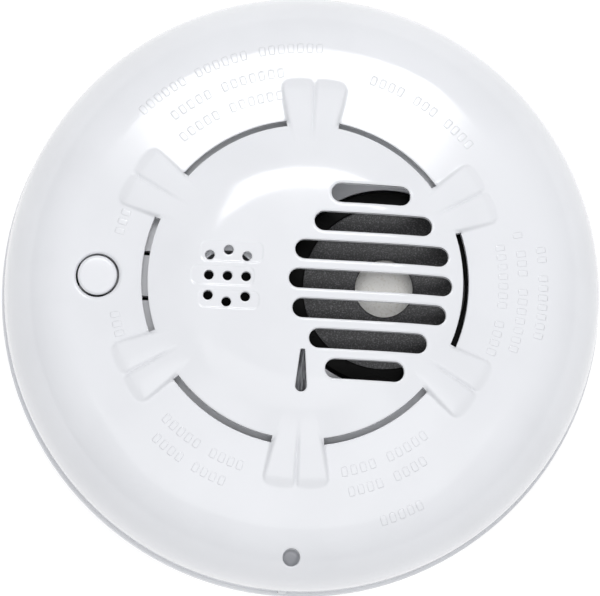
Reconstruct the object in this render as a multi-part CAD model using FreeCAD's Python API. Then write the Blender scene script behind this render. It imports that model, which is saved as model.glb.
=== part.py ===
# Round carbon monoxide alarm, lying on its back: front towards +Z, wall side on z = 0.
# +X runs along the sounder grille's slots, +Y is up on a wall. Millimetres.
# Its origin is the centre of the mounting plate's back face.
import FreeCAD
import Part

import math
import os

from FreeCAD import Vector

# ---- driving dimensions -------------------------------------------------------------------
PLATE_RADIUS = 75.0
COVER_RADIUS = 74.0
OVERALL_DEPTH = 45.0
COVER_WALL = 2.4
FIT_GAP = 0.3
PIN_GAP = 0.05

# front cover outline: cap dome, roll-over, skirt, then a shallow cone and a rounded shoulder
CAP_DOME_RADIUS = 300.0
CAP_FLAT_RADIUS = 22.6
SKIRT_START_RADIUS = 31.9
SKIRT_SLOPE = 19.5
CAP_EDGE_RADIUS = 38.3
RING_START_RADIUS = 39.8
RING_START_HEIGHT = 38.2
RING_SLOPE = 9.0
SHOULDER_RADIUS = 57.5
SHOULDER_FOOT = 12.0
SHOULDER_PULLS = (9.3, 12.9)
COVER_FOOT = 4.0

# bridges between cap and ring
BRIDGE_ANGLES = (90, 30, -30, -90, -150, 150)
BRIDGE_ROOT = (32.0, 4.6)
BRIDGE_NECK = (39.0, 6.1)
BRIDGE_SHOULDER = (47.2, 8.0)
BRIDGE_END = 50.2
BRIDGE_CREST = ((31.0, 42.3), (34.0, 41.43), (39.5, 39.92), (46.0, 38.26), (51.0, 37.04))
BRIDGE_GROOVE = (36.5, 51.0, 1.3, 0.5)

# openings in the cover, and the heights between which the cuts through its top run
CUT_LOW, CUT_HIGH = 30.0, 46.0
GRILLE_CENTRE = (15.7, 0.3)
GRILLE_PITCH = 7.14
GRILLE_SLOT_HEIGHT = 4.8
GRILLE_SLOTS = ((3, -0.9, 19.3), (2, 0, 28.7), (1, 0, 37.4), (0, 0, 39.8),
                (-1, 0, 37.4), (-2, 0, 28.7), (-3, -0.5, 19.3))
WINDOW_TOP = (-16.9, 1.15)
WINDOW_FOOT = (-27.1, 2.8)
GAS_HOLE_RADIUS = 1.175
GAS_HOLES = ((0, 0), (4.5, 0), (-4.5, 0), (0, 6.3), (0, -6.3),
             (4.5, 4.9), (-4.5, 4.9), (4.5, -4.9), (-4.5, -4.9))
GAS_BANDS = ((5.9, -6.7, 8.3, 4.9), (0.0, -8.8, 6.4, 4.6), (-5.7, -6.8, 7.9, 4.3))
GAS_BAND_DEPTH = 0.3
ACCESS_HOLE_RADIUS = 2.125
ACCESS_HOLE_Y = -66.5
ACCESS_HOLE_FLOOR = 24.0
ACCESS_BOSS_WALL = 1.3
BUTTON_X = -50.5
BUTTON_Y = -0.6
BUTTON_RADIUS = 4.825
BUTTON_TOP = 36.9
BUTTON_SKIRT = 33.0
BUTTON_SOCKET = (3.0, 35.2)
BUTTON_HOLE_RADIUS = 5.3
ALIGNMENT_RIB = (-1.3, 2.2, 0.5, 9.0)
SNAP_GROOVE = (9.0, 11.2)

# gas cell, horn and carrier
SENSOR_X = -19.0
SENSOR_Y = -1.0
SENSOR_RADIUS = 7.0
SENSOR_FOOT = 17.0
SENSOR_CAN_TOP = 32.0
SENSOR_TOP = 34.6
SENSOR_FILTER_RADIUS = 2.5
HORN_X = 19.4
HORN_RADIUS = 24.0
HORN_FACE = 33.5
HORN_BASE = 25.2
HORN_LIP_RADIUS = 19.8
HORN_THROAT_RADIUS = 7.05
HORN_PLATE = (31.3, 32.8)
HORN_SEAT_RADII = (18.6, 20.9)
DISC_SEAT = 26.2
DISC_TOP = 26.5
GASKET_TOP = 27.5
HORN_FLANGE_RADIUS = 26.5
HORN_SCREW_ANGLES = (180, 75, -60)
HORN_SCREW_CIRCLE = 27.5
FRAME_BOTTOM = 30.6
FRAME_TOP = 32.4
FRAME_RADIUS = 47.0
FRAME_RING = (36.6, 41.4, 35.0)
SENSOR_COLLAR_GAP = 0.4
SENSOR_COLLAR_WALL = 1.7
POST_ANGLES = (30, 150, 225, 315)
POST_CIRCLE = 43.0
POST_RADIUS = 3.2
LEVER_ROOT_X = -27.0
LEVER_HALF_WIDTH = 4.95
LEVER_SLIT = 1.1
LEVER_PIVOT_Z = 31.5
LEVER_BEAD_RADIUS = 0.9
LEVER_TIP = 4.4
LEVER_BALL_RADIUS = 2.0

# board and what stands on it
BOARD_BOTTOM = 14.0
BOARD_TOP = 15.6
BOARD_RADIUS = 62.0
SWITCH_SIDE = 8.0
SWITCH_TOP = 19.4
PLUNGER_TOP = 20.6
PLUNGER_RADIUS = 1.6
PLUNGER_FOOT = 17.9

# back housing, battery bay and bayonet
HOUSING_BACK = 2.8
HOUSING_FLOOR = 4.8
HOUSING_RADIUS = 72.8
CHANNEL_RADII = (59.0, 67.5)
CHANNEL_ROOF = 10.2
CHANNEL_WALL = 1.6
BAY_HALF_LENGTH = 27.5
BAY_Y = (13.7, 40.9)
BAY_ROOF = 23.0
BAY_WALL = 1.5
DOOR_THICKNESS = 1.6
HINGE_Y = 42.6
HINGE_Z = 4.6
TRUNNION_RADIUS = 1.0
BARREL_RADIUS = 1.7
HINGE_ARM_X = (15.0, 21.0)
HINGE_LUG_X = (21.3, 24.6)
HINGE_LUG_RADIUS = 1.9
HINGE_GUTTER_RADIUS = 3.1
DOOR_HINGE_EDGE = 40.3
BATTERY_BODY = (46.0, 26.5, 17.5)
BATTERY_STUD_LENGTH = 3.0
BATTERY_STUDS = ((-6.35, 2.9), (6.35, 4.2))

# mounting plate
PLATE_HOLE_RADIUS = 56.0
PLATE_FLOOR = 2.2
PLATE_RIM = (73.2, 3.6)
PLATE_EAR = (35.0, 20.0)
PLATE_SLOT_SPACING = 86.0
PLATE_SLOT_LENGTH = 10.0
PLATE_SLOT_RADIUS = 2.25
HOOK_ANGLES = (90, 210, 330)
HOOK_HALF_ANGLE = 7.0
HOOK_STEM = (60.0, 61.6)
HOOK_LIP_RADIUS = 65.4
HOOK_LIP = (5.4, 7.4)
LUG_INNER_RADIUS = 62.6
LUG_TOP = 5.0
LUG_HALF_ANGLE = 12.0
TWIST_STOP = (7.6, 9.8)

UP = Vector(0, 0, 1)


# ---- plain building blocks ------------------------------------------------------------------
def rod(radius, bottom, top, x=0.0, y=0.0):
    return Part.makeCylinder(radius, top - bottom, Vector(x, y, bottom), UP)


def tube(inner, outer, bottom, top, x=0.0, y=0.0):
    return rod(outer, bottom, top, x, y).cut(rod(inner, bottom - 1, top + 1, x, y))


def block(x0, x1, y0, y1, z0, z1):
    return Part.makeBox(x1 - x0, y1 - y0, z1 - z0, Vector(x0, y0, z0))


def rounded_block(x0, x1, y0, y1, z0, z1, radius):
    body = block(x0, x1, y0, y1, z0, z1)
    uprights = [e for e in body.Edges if abs(e.tangentAt(e.FirstParameter).z) > 0.99]
    return body.makeFillet(radius, uprights)


def sector(inner, outer, start, end, bottom, top):
    """A piece of ring between two angles, in degrees."""
    def at(radius, angle):
        a = math.radians(angle)
        return Vector(radius * math.cos(a), radius * math.sin(a), bottom)
    middle = (start + end) / 2
    edges = [
        Part.Arc(at(inner, start), at(inner, middle), at(inner, end)).toShape(),
        Part.makeLine(at(inner, end), at(outer, end)),
        Part.Arc(at(outer, end), at(outer, middle), at(outer, start)).toShape(),
        Part.makeLine(at(outer, start), at(inner, start)),
    ]
    return Part.Face(Part.Wire(edges)).extrude(Vector(0, 0, top - bottom))


def revolved(points):
    """The solid swept round the Z axis by a closed outline of (radius, height) points."""
    corners = [Vector(r, 0, z) for r, z in points]
    outline = Part.makePolygon(corners + corners[:1])
    return Part.Face(outline).revolve(Vector(0, 0, 0), UP, 360)


def prism(points, bottom, top):
    corners = [Vector(x, y, bottom) for x, y in points]
    return Part.Face(Part.makePolygon(corners + corners[:1])).extrude(Vector(0, 0, top - bottom))


def stadium(x0, x1, y, height, bottom, top):
    """A slot with round ends along X."""
    r = height / 2
    body = block(x0 + r, x1 - r, y - r, y + r, bottom, top)
    return body.fuse([rod(r, bottom, top, x0 + r, y), rod(r, bottom, top, x1 - r, y)]).removeSplitter()


def polar(radius, angle):
    return radius * math.cos(math.radians(angle)), radius * math.sin(math.radians(angle))


def turned(shape, angle):
    copy = shape.copy()
    copy.rotate(Vector(0, 0, 0), UP, angle)
    return copy


def joined(shapes):
    return shapes[0].fuse(list(shapes[1:])).removeSplitter()


# ---- front cover outline ----------------------------------------------------------------------
def cover_section(inset):
    """Edges of the cover's outline from the axis to its foot, moved inwards by inset."""
    def moved(radius, height, slope):
        a = math.radians(slope)
        return Vector(radius - inset * math.sin(a), 0, height - inset * math.cos(a))

    flat_slope = math.degrees(math.asin(CAP_FLAT_RADIUS / CAP_DOME_RADIUS))
    steep, shallow = math.radians(SKIRT_SLOPE), math.radians(flat_slope)
    roll_radius = (SKIRT_START_RADIUS - CAP_FLAT_RADIUS) / (math.sin(steep) - math.sin(shallow))
    flat_height = OVERALL_DEPTH - CAP_DOME_RADIUS * (1 - math.cos(shallow))
    skirt_height = flat_height - roll_radius * (math.cos(shallow) - math.cos(steep))
    edge_height = skirt_height - (CAP_EDGE_RADIUS - SKIRT_START_RADIUS) * math.tan(steep)
    fall = (SHOULDER_RADIUS - RING_START_RADIUS) * math.tan(math.radians(RING_SLOPE))
    half = math.radians(flat_slope / 2)
    mid_roll = (shallow + steep) / 2
    mid_radius = CAP_FLAT_RADIUS + roll_radius * (math.sin(mid_roll) - math.sin(shallow))
    mid_height = flat_height - roll_radius * (math.cos(shallow) - math.cos(mid_roll))

    apex = moved(0, OVERALL_DEPTH, 0)
    dome = moved(CAP_DOME_RADIUS * math.sin(half),
                 OVERALL_DEPTH - CAP_DOME_RADIUS * (1 - math.cos(half)), flat_slope / 2)
    flat = moved(CAP_FLAT_RADIUS, flat_height, flat_slope)
    roll = moved(mid_radius, mid_height, math.degrees(mid_roll))
    skirt = moved(SKIRT_START_RADIUS, skirt_height, SKIRT_SLOPE)
    edge = moved(CAP_EDGE_RADIUS, edge_height, SKIRT_SLOPE)
    ring = moved(RING_START_RADIUS, RING_START_HEIGHT, RING_SLOPE)
    shoulder = moved(SHOULDER_RADIUS, RING_START_HEIGHT - fall, RING_SLOPE)
    side = moved(COVER_RADIUS, SHOULDER_FOOT, 90)
    foot = Vector(side.x, 0, COVER_FOOT)

    lean = math.radians(RING_SLOPE)
    first_pull, last_pull = (pull - 0.55 * inset for pull in SHOULDER_PULLS)
    curve = Part.BezierCurve()
    curve.setPoles([
        shoulder,
        shoulder + Vector(first_pull * math.cos(lean), 0, -first_pull * math.sin(lean)),
        side + Vector(0, 0, last_pull),
        side,
    ])
    return [
        Part.Arc(apex, dome, flat).toShape(),
        Part.Arc(flat, roll, skirt).toShape(),
        Part.makeLine(skirt, edge),
        Part.makeLine(edge, ring),
        Part.makeLine(ring, shoulder),
        curve.toShape(),
        Part.makeLine(side, foot),
    ]


def ends(edges):
    """First and last point of a chain of edges that runs outwards from the axis."""
    first = edges[0].valueAt(edges[0].FirstParameter)
    last = edges[-1].valueAt(edges[-1].LastParameter)
    return first, last


def under_cover(inset):
    """Everything below the cover's outline moved inwards by inset, down to its foot."""
    edges = cover_section(inset)
    first, last = ends(edges)
    base = Vector(0, 0, COVER_FOOT)
    closing = [Part.makeLine(last, base), Part.makeLine(base, first)]
    return Part.Face(Part.Wire(edges + closing)).revolve(Vector(0, 0, 0), UP, 360)


def cover_shell():
    return under_cover(0).cut(under_cover(COVER_WALL))


# ---- front cover ------------------------------------------------------------------------------
def bridge_crest(drop, lowest):
    """Ring-shaped space from the bridges' crest line, lowered by drop, down to lowest."""
    crest = [Vector(r, 0, z - drop) for r, z in BRIDGE_CREST]
    line = Part.BSplineCurve()
    line.interpolate(crest)
    first, last = crest[0], crest[-1]
    floor = [Vector(last.x, 0, lowest[1]), Vector(first.x, 0, lowest[0])]
    edges = [line.toShape(), Part.makeLine(last, floor[0]),
             Part.makeLine(floor[0], floor[1]), Part.makeLine(floor[1], first)]
    return Part.Face(Part.Wire(edges)).revolve(Vector(0, 0, 0), UP, 360)


def bridge():
    """One flared pad that joins the cap to the ring, along +X."""
    (r0, w0), (r1, w1), (r2, w2) = BRIDGE_ROOT, BRIDGE_NECK, BRIDGE_SHOULDER
    plan = prism([(r0, -w0), (r1, -w1), (r2, -w2), (BRIDGE_END, -w2 + 0.5),
                  (BRIDGE_END, w2 - 0.5), (r2, w2), (r1, w1), (r0, w0)], CUT_LOW, CUT_HIGH)
    outer = [e for e in plan.Edges
             if abs(e.tangentAt(e.FirstParameter).z) > 0.99 and e.CenterOfMass.x > BRIDGE_END - 0.1]
    plan = plan.makeFillet(2.2, outer)
    start, stop, width, depth = BRIDGE_GROOVE
    wedge = prism([(start, 0), (stop, -width / 2), (stop, width / 2)], CUT_LOW, CUT_HIGH)
    pad = plan.common(bridge_crest(0, (41.0, 35.0)))
    return pad.cut(wedge.cut(bridge_crest(depth, (30.0, 30.0))))


def bridges():
    pad = bridge()
    return [turned(pad, angle) for angle in BRIDGE_ANGLES]


def air_gaps():
    """Six curved slots between cap and ring, with round ends beside the bridges."""
    middle = (CAP_EDGE_RADIUS + RING_START_RADIUS) / 2
    half_gap = (RING_START_RADIUS - CAP_EDGE_RADIUS) / 2
    half_angle = math.degrees(math.asin((BRIDGE_NECK[1] + half_gap) / middle))
    start, end = -30 + half_angle, 30 - half_angle
    gap = sector(CAP_EDGE_RADIUS, RING_START_RADIUS, start, end, CUT_LOW, CUT_HIGH)
    tips = [rod(half_gap, CUT_LOW, CUT_HIGH, *polar(middle, a)) for a in (start, end)]
    gap = gap.fuse(tips).removeSplitter()
    return [turned(gap, angle - 30) for angle in BRIDGE_ANGLES]


def grille_slots():
    slots = []
    for row, shift, length in GRILLE_SLOTS:
        x = GRILLE_CENTRE[0] + shift
        y = GRILLE_CENTRE[1] + row * GRILLE_PITCH
        slots.append(stadium(x - length / 2, x + length / 2, y, GRILLE_SLOT_HEIGHT, CUT_LOW, CUT_HIGH))
    return slots


def window_prism(inset, bottom, top):
    """The indicator window's wedge, narrow end towards the centre, drawn in by inset."""
    (y_top, w_top), (y_foot, w_foot) = WINDOW_TOP, WINDOW_FOOT
    r_foot = w_foot / 2
    y_arc = y_foot + r_foot
    r, h = r_foot - inset, w_top / 2 - inset
    corners = [Vector(-h, y_top - inset, bottom), Vector(-r, y_arc, bottom),
               Vector(0, y_foot + inset, bottom), Vector(r, y_arc, bottom),
               Vector(h, y_top - inset, bottom)]
    edges = [Part.makeLine(corners[0], corners[1]),
             Part.Arc(corners[1], corners[2], corners[3]).toShape(),
             Part.makeLine(corners[3], corners[4]),
             Part.makeLine(corners[4], corners[0])]
    return Part.Face(Part.Wire(edges)).extrude(Vector(0, 0, top - bottom))


def gas_holes():
    return [rod(GAS_HOLE_RADIUS, CUT_LOW, CUT_HIGH, SENSOR_X + x, y) for x, y in GAS_HOLES]


def gas_bands():
    """Shallow recessed bands round the three rows of gas holes."""
    core = under_cover(GAS_BAND_DEPTH)
    return [stadium(SENSOR_X + x0, SENSOR_X + x1, y, height, CUT_LOW, CUT_HIGH).cut(core)
            for y, x0, x1, height in GAS_BANDS]


def front_cover():
    boss_foot = ACCESS_HOLE_FLOOR - ACCESS_BOSS_WALL
    access_boss = rod(ACCESS_HOLE_RADIUS + ACCESS_BOSS_WALL, boss_foot, CUT_HIGH, 0, ACCESS_HOLE_Y)
    access_boss = access_boss.common(under_cover(COVER_WALL / 2))
    rib_x, rib_width, rib_proud, rib_top = ALIGNMENT_RIB
    rib = block(rib_x - rib_width / 2, rib_x + rib_width / 2,
                -COVER_RADIUS - rib_proud, -COVER_RADIUS + 0.8, COVER_FOOT, rib_top)
    snap_groove = tube(COVER_RADIUS - COVER_WALL - 0.5, COVER_RADIUS - 1.5, *SNAP_GROOVE)
    cover = joined([cover_shell(), access_boss, rib] + bridges())
    holes = air_gaps() + grille_slots() + gas_holes() + gas_bands()
    holes += [window_prism(0, CUT_LOW, CUT_HIGH),
              rod(ACCESS_HOLE_RADIUS, ACCESS_HOLE_FLOOR, CUT_HIGH, 0, ACCESS_HOLE_Y),
              rod(BUTTON_HOLE_RADIUS, CUT_LOW, CUT_HIGH, BUTTON_X, BUTTON_Y),
              snap_groove]
    return cover.cut(holes)


# ---- test button, lever and switch -----------------------------------------------------------
def test_button():
    socket_radius, socket_top = BUTTON_SOCKET
    cap = rod(BUTTON_RADIUS, BUTTON_SKIRT, BUTTON_TOP, BUTTON_X, BUTTON_Y)
    rim = [e for e in cap.Edges if abs(e.CenterOfMass.z - BUTTON_TOP) < 0.01]
    cap = cap.makeFillet(0.9, rim)
    return cap.cut(rod(socket_radius, BUTTON_SKIRT - 1, socket_top, BUTTON_X, BUTTON_Y))


def lever_bead(radius, half_length):
    """A round bar on the lever's pivot line."""
    return Part.makeCylinder(radius, 2 * half_length, Vector(LEVER_ROOT_X, -half_length, LEVER_PIVOT_Z),
                             Vector(0, 1, 0))


def button_lever():
    """Tongue in the carrier: a round bead is its pivot, its tip carries the cap and presses the switch."""
    tip = BUTTON_X - LEVER_TIP
    root = LEVER_ROOT_X - LEVER_BEAD_RADIUS - 0.6
    tongue = rounded_block(tip, root, -LEVER_HALF_WIDTH, LEVER_HALF_WIDTH, FRAME_BOTTOM, FRAME_TOP, 0.6)
    neck = block(root - 1, LEVER_ROOT_X, 1 - LEVER_HALF_WIDTH, LEVER_HALF_WIDTH - 1,
                 LEVER_PIVOT_Z - 0.5, LEVER_PIVOT_Z + 0.5)
    bead = lever_bead(LEVER_BEAD_RADIUS, LEVER_HALF_WIDTH)
    ball_middle = PLUNGER_TOP + LEVER_BALL_RADIUS
    post = rod(LEVER_BALL_RADIUS, ball_middle, FRAME_BOTTOM + 0.2, BUTTON_X, BUTTON_Y)
    ball = Part.makeSphere(LEVER_BALL_RADIUS, Vector(BUTTON_X, BUTTON_Y, ball_middle))
    socket_radius, socket_top = BUTTON_SOCKET
    stem = rod(socket_radius - PIN_GAP, FRAME_TOP - 0.2, socket_top, BUTTON_X, BUTTON_Y)
    rib = block(BUTTON_X, root - 6, BUTTON_Y - 0.7, BUTTON_Y + 0.7, FRAME_BOTTOM - 1.6, FRAME_BOTTOM + 0.2)
    ledge = frame_ring().common(block(tip, root, -LEVER_HALF_WIDTH, LEVER_HALF_WIDTH, 30, 40))
    return joined([tongue, neck, bead, post, ball, stem, rib, ledge])


def test_switch_body():
    half = SWITCH_SIDE / 2
    body = rounded_block(BUTTON_X - half, BUTTON_X + half, BUTTON_Y - half, BUTTON_Y + half,
                         BOARD_TOP, SWITCH_TOP, 0.6)
    return body.cut(rod(PLUNGER_RADIUS + PIN_GAP, BOARD_TOP + 1, SWITCH_TOP + 1, BUTTON_X, BUTTON_Y))


def test_switch_plunger():
    return rod(PLUNGER_RADIUS, PLUNGER_FOOT, PLUNGER_TOP, BUTTON_X, BUTTON_Y)


# ---- carrier and indicator -------------------------------------------------------------------
def frame_ring():
    """Raised ring that shields the inside from the air gaps."""
    inner, outer, top = FRAME_RING
    return tube(inner, outer, FRAME_TOP - 0.2, top)


def sensor_collar():
    """Wall round the gas cell that leads the air from the gas holes to it, close under the cover."""
    bore = SENSOR_RADIUS + SENSOR_COLLAR_GAP
    wall = tube(bore, bore + SENSOR_COLLAR_WALL, FRAME_TOP - 0.2, CUT_HIGH, SENSOR_X, SENSOR_Y)
    return wall.common(under_cover(COVER_WALL + SENSOR_COLLAR_GAP))


def inner_frame():
    plate = rod(FRAME_RADIUS, FRAME_BOTTOM, FRAME_TOP)
    skirt = tube(FRAME_RADIUS - 1.5, FRAME_RADIUS, FRAME_BOTTOM - 3.5, FRAME_BOTTOM + 0.2)
    posts = [rod(POST_RADIUS, BOARD_TOP, FRAME_BOTTOM + 0.2, *polar(POST_CIRCLE, a)) for a in POST_ANGLES]
    frame = joined([plate, skirt, frame_ring(), sensor_collar()] + posts)
    slit = LEVER_HALF_WIDTH + LEVER_SLIT
    cuts = [rod(HORN_RADIUS + FIT_GAP, 20, 40, HORN_X, 0),
            rod(HORN_FLANGE_RADIUS + FIT_GAP, 20, FRAME_BOTTOM, HORN_X, 0),
            rod(SENSOR_RADIUS + SENSOR_COLLAR_GAP, 20, 40, SENSOR_X, SENSOR_Y),
            window_prism(-0.4, 20, 40),
            block(-60, LEVER_ROOT_X, -slit, slit, 20, CUT_HIGH),
            lever_bead(LEVER_BEAD_RADIUS + PIN_GAP, slit)]
    cuts += [rod(1.4, BOARD_TOP - 1, 26, *polar(POST_CIRCLE, a)) for a in POST_ANGLES]
    cuts += [rod(0.9, 20, 31.8, *horn_screw_place(a)) for a in HORN_SCREW_ANGLES]
    return frame.cut(cuts)


def indicator_light_pipe():
    pipe = window_prism(0.08, 18.2, 46)
    foot = window_prism(-0.3, 18.2, 20.5)
    return joined([pipe.common(under_cover(0.4)), foot])


# ---- horn ---------------------------------------------------------------------------------------
def horn_screw_place(angle):
    x, y = polar(HORN_SCREW_CIRCLE, angle)
    return HORN_X + x, y


def at_horn(shape):
    shape.translate(Vector(HORN_X, 0, 0))
    return shape


def horn_housing():
    seat, wall = HORN_SEAT_RADII
    plate_top = HORN_PLATE[1]
    body = at_horn(revolved([
        (seat, HORN_BASE), (HORN_RADIUS, HORN_BASE), (HORN_RADIUS, HORN_FACE - 0.6),
        (HORN_RADIUS - 0.6, HORN_FACE), (HORN_LIP_RADIUS + 0.3, HORN_FACE),
        (HORN_LIP_RADIUS, HORN_FACE - 0.3), (HORN_LIP_RADIUS, plate_top), (wall + 0.1, plate_top),
        (wall + 0.1, DISC_SEAT), (seat, DISC_SEAT)]))
    flange = tube(HORN_RADIUS - 0.5, HORN_FLANGE_RADIUS, 29.0, FRAME_BOTTOM, HORN_X, 0)
    flange = flange.cut(window_prism(-0.5, 20, 40))
    ears = [tube(1.1, 3.0, 29.0, FRAME_BOTTOM, *horn_screw_place(a)) for a in HORN_SCREW_ANGLES]
    bore = rod(HORN_RADIUS - 1.5, 28, 31, HORN_X, 0)
    ears = [ear.cut(bore) for ear in ears]
    body = joined([body, flange] + ears)
    return body.cut([rod(1.1, 28, 32, *horn_screw_place(a)) for a in HORN_SCREW_ANGLES])


def horn_front_plate():
    back, top = HORN_PLATE
    wall = HORN_SEAT_RADII[1]
    return at_horn(revolved([
        (HORN_THROAT_RADIUS, back), (wall - 1.5, back), (wall - 1.5, GASKET_TOP), (wall, GASKET_TOP),
        (wall, top), (HORN_THROAT_RADIUS + 0.3, top), (HORN_THROAT_RADIUS, top - 0.3)]))


def horn_gasket():
    seat, wall = HORN_SEAT_RADII
    return tube(seat + 0.3, wall - 0.1, DISC_TOP, GASKET_TOP, HORN_X, 0)


def piezo_plate():
    return rod(HORN_SEAT_RADII[1] - 0.2, DISC_SEAT, DISC_TOP, HORN_X, 0)


def piezo_ceramic():
    return rod(12.5, DISC_TOP, DISC_TOP + 0.25, HORN_X, 0)


def horn_contacts():
    """Three sprung pins from the board to the back of the brass disc."""
    pins = []
    for x, y in ((0, 0), (9.5, -4.0), (-9.5, -4.0)):
        foot = rod(1.4, BOARD_TOP, 18.6, HORN_X + x, y - 4)
        pin = rod(0.7, 18.4, DISC_SEAT, HORN_X + x, y - 4)
        pins.append(foot.fuse(pin).removeSplitter())
    return Part.makeCompound(pins)


def horn_screws():
    screws = []
    for angle in HORN_SCREW_ANGLES:
        x, y = horn_screw_place(angle)
        head = rod(1.9, 27.6, 29.0, x, y).cut(block(x - 1.3, x + 1.3, y - 0.25, y + 0.25, 27.0, 28.2))
        screws.append(head.fuse(rod(0.85, 28.8, 31.6, x, y)).removeSplitter())
    return Part.makeCompound(screws)


# ---- gas cell -----------------------------------------------------------------------------------
SENSOR_PINS = ((-4.0, -2.5), (4.0, -2.5), (0.0, 4.5))


def co_sensor_can():
    can = rod(SENSOR_RADIUS, SENSOR_FOOT, SENSOR_CAN_TOP, SENSOR_X, SENSOR_Y)
    waist = tube(SENSOR_RADIUS - 0.35, SENSOR_RADIUS + 1, 28.6, 29.6, SENSOR_X, SENSOR_Y)
    return can.cut(waist)


def co_sensor_cap():
    cap = rod(SENSOR_RADIUS, SENSOR_CAN_TOP, SENSOR_TOP, SENSOR_X, SENSOR_Y)
    top = [e for e in cap.Edges if abs(e.CenterOfMass.z - SENSOR_TOP) < 0.01]
    cap = cap.makeFillet(0.5, top)
    return cap.cut(rod(SENSOR_FILTER_RADIUS + 0.1, SENSOR_TOP - 0.5, SENSOR_TOP + 1, SENSOR_X, SENSOR_Y))


def co_sensor_filter():
    return rod(SENSOR_FILTER_RADIUS, SENSOR_TOP - 0.5, SENSOR_TOP - 0.2, SENSOR_X, SENSOR_Y)


def co_sensor_pins():
    foot = BOARD_BOTTOM - 1.6
    pins = [rod(0.5, foot, SENSOR_FOOT, SENSOR_X + x, SENSOR_Y + y) for x, y in SENSOR_PINS]
    return Part.makeCompound(pins)


# ---- circuit board --------------------------------------------------------------------------
def circuit_board():
    board = rod(BOARD_RADIUS, BOARD_BOTTOM, BOARD_TOP)
    window = rounded_block(-BAY_HALF_LENGTH - 2.2, BAY_HALF_LENGTH + 2.2, BAY_Y[0] - 2.2, BAY_Y[1] + 2.4,
                           BOARD_BOTTOM - 1, BOARD_TOP + 1, 1.5)
    cuts = [window] + [rod(1.7, 10, 20, *polar(POST_CIRCLE, a)) for a in POST_ANGLES]
    cuts += [rod(0.65, 10, 20, SENSOR_X + x, SENSOR_Y + y) for x, y in SENSOR_PINS]
    cuts += [block(-33.0, -31.4, y - 1.7, y + 1.7, 10, 20) for y in blade_places()]
    return board.cut(cuts)


def microcontroller():
    body = rounded_block(6, 18, -34, -22, BOARD_TOP + 0.2, 17.4, 0.4)
    legs = [block(5.0, 19.0, y - 0.25, y + 0.25, BOARD_TOP, BOARD_TOP + 0.4)
            for y in (-33 + 2 * k for k in range(6))]
    return joined([body] + legs)


def small_chip(x, y, width, depth):
    body = block(x - width / 2, x + width / 2, y - depth / 2, y + depth / 2, BOARD_TOP + 0.15, 17.1)
    legs = [block(x - width / 2 - 0.9, x + width / 2 + 0.9, y + s - 0.2, y + s + 0.2,
                  BOARD_TOP, BOARD_TOP + 0.35) for s in (-1.9, -0.635, 0.635, 1.9)]
    return joined([body] + legs)


def horn_driver_chip():
    return small_chip(36, -14, 4.0, 5.0)


def sensor_amplifier_chip():
    return small_chip(-19, -17, 4.0, 5.0)


def electrolytic_capacitors():
    places = ((30.0, -44.0, 4.0, 9.0), (20.0, -46.0, 4.0, 9.0), (-38.0, -38.0, 3.15, 8.0))
    cans = []
    for x, y, radius, height in places:
        can = rod(radius, BOARD_TOP, BOARD_TOP + height, x, y)
        groove = tube(radius - 0.3, radius + 1, BOARD_TOP + 1.2, BOARD_TOP + 1.8, x, y)
        cans.append(can.cut(groove))
    return Part.makeCompound(cans)


def chip_resistors():
    chips = []
    for row in range(3):
        for column in range(4):
            x, y = -16 + 3.4 * column, -34 - 4.0 * row
            chips.append(block(x - 0.8, x + 0.8, y - 0.45, y + 0.45, BOARD_TOP, BOARD_TOP + 0.5))
    return Part.makeCompound(chips)


COIL_PLACE = (42.0, -2.0)


def horn_boost_coil_core():
    x, y = COIL_PLACE
    return joined([rod(5.0, BOARD_TOP, 16.6, x, y), rod(2.2, 16.5, 22.1, x, y), rod(5.0, 22.0, 23.0, x, y)])


def horn_boost_coil_winding():
    return tube(2.2, 4.4, 16.6, 22.0, *COIL_PLACE)


def indicator_led(y):
    return joined([block(-0.8, 0.8, y - 0.5, y + 0.5, BOARD_TOP, 16.3), rod(0.45, 16.2, 16.9, 0, y)])


# ---- battery ------------------------------------------------------------------------------------
def battery_middle():
    return (BAY_Y[0] + BAY_Y[1]) / 2


def blade_places():
    return [battery_middle() + y for y, _ in BATTERY_STUDS]


BATTERY_END_X = BAY_HALF_LENGTH - 0.5
BATTERY_BOTTOM = 5.0


def battery_case():
    length, width, height = BATTERY_BODY
    y = battery_middle()
    body = block(BATTERY_END_X - length, BATTERY_END_X, y - width / 2, y + width / 2,
                 BATTERY_BOTTOM, BATTERY_BOTTOM + height)
    long_edges = [e for e in body.Edges if abs(e.tangentAt(e.FirstParameter).x) > 0.99]
    return body.makeFillet(2.2, long_edges)


def stud(radius, y, reach, wall=0.0):
    """A round post along -X from the battery's end, or with a wall the socket that takes it."""
    x = BATTERY_END_X - BATTERY_BODY[0]
    z = BATTERY_BOTTOM + BATTERY_BODY[2] / 2
    return Part.makeCylinder(radius + wall, reach, Vector(x, y, z), Vector(-1, 0, 0))


def battery_terminals():
    middle = battery_middle()
    return Part.makeCompound([stud(r, middle + y, BATTERY_STUD_LENGTH) for y, r in BATTERY_STUDS])


def battery_snap():
    y = battery_middle()
    x = BATTERY_END_X - BATTERY_BODY[0]
    body = rounded_block(-BAY_HALF_LENGTH + 0.1, x - 0.4, y - 12.6, y + 12.6, 7.5, 20.0, 1.2)
    sockets = [stud(r, y + dy, BATTERY_STUD_LENGTH + 0.4, 0.2) for dy, r in BATTERY_STUDS]
    slots = [block(-BAY_HALF_LENGTH, -25.5, p - 1.6, p + 1.6, 16.9, 17.7) for p in blade_places()]
    return body.cut(sockets + slots)


def battery_contacts():
    """Two bent blades from the contact block, through the bay wall, down into the board."""
    blades = []
    for y in blade_places():
        level = block(-32.6, -25.6, y - 1.5, y + 1.5, 17.0, 17.6)
        leg = block(-32.6, -32.0, y - 1.5, y + 1.5, 12.6, 17.2)
        blades.append(level.fuse(leg).removeSplitter())
    return Part.makeCompound(blades)


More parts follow.
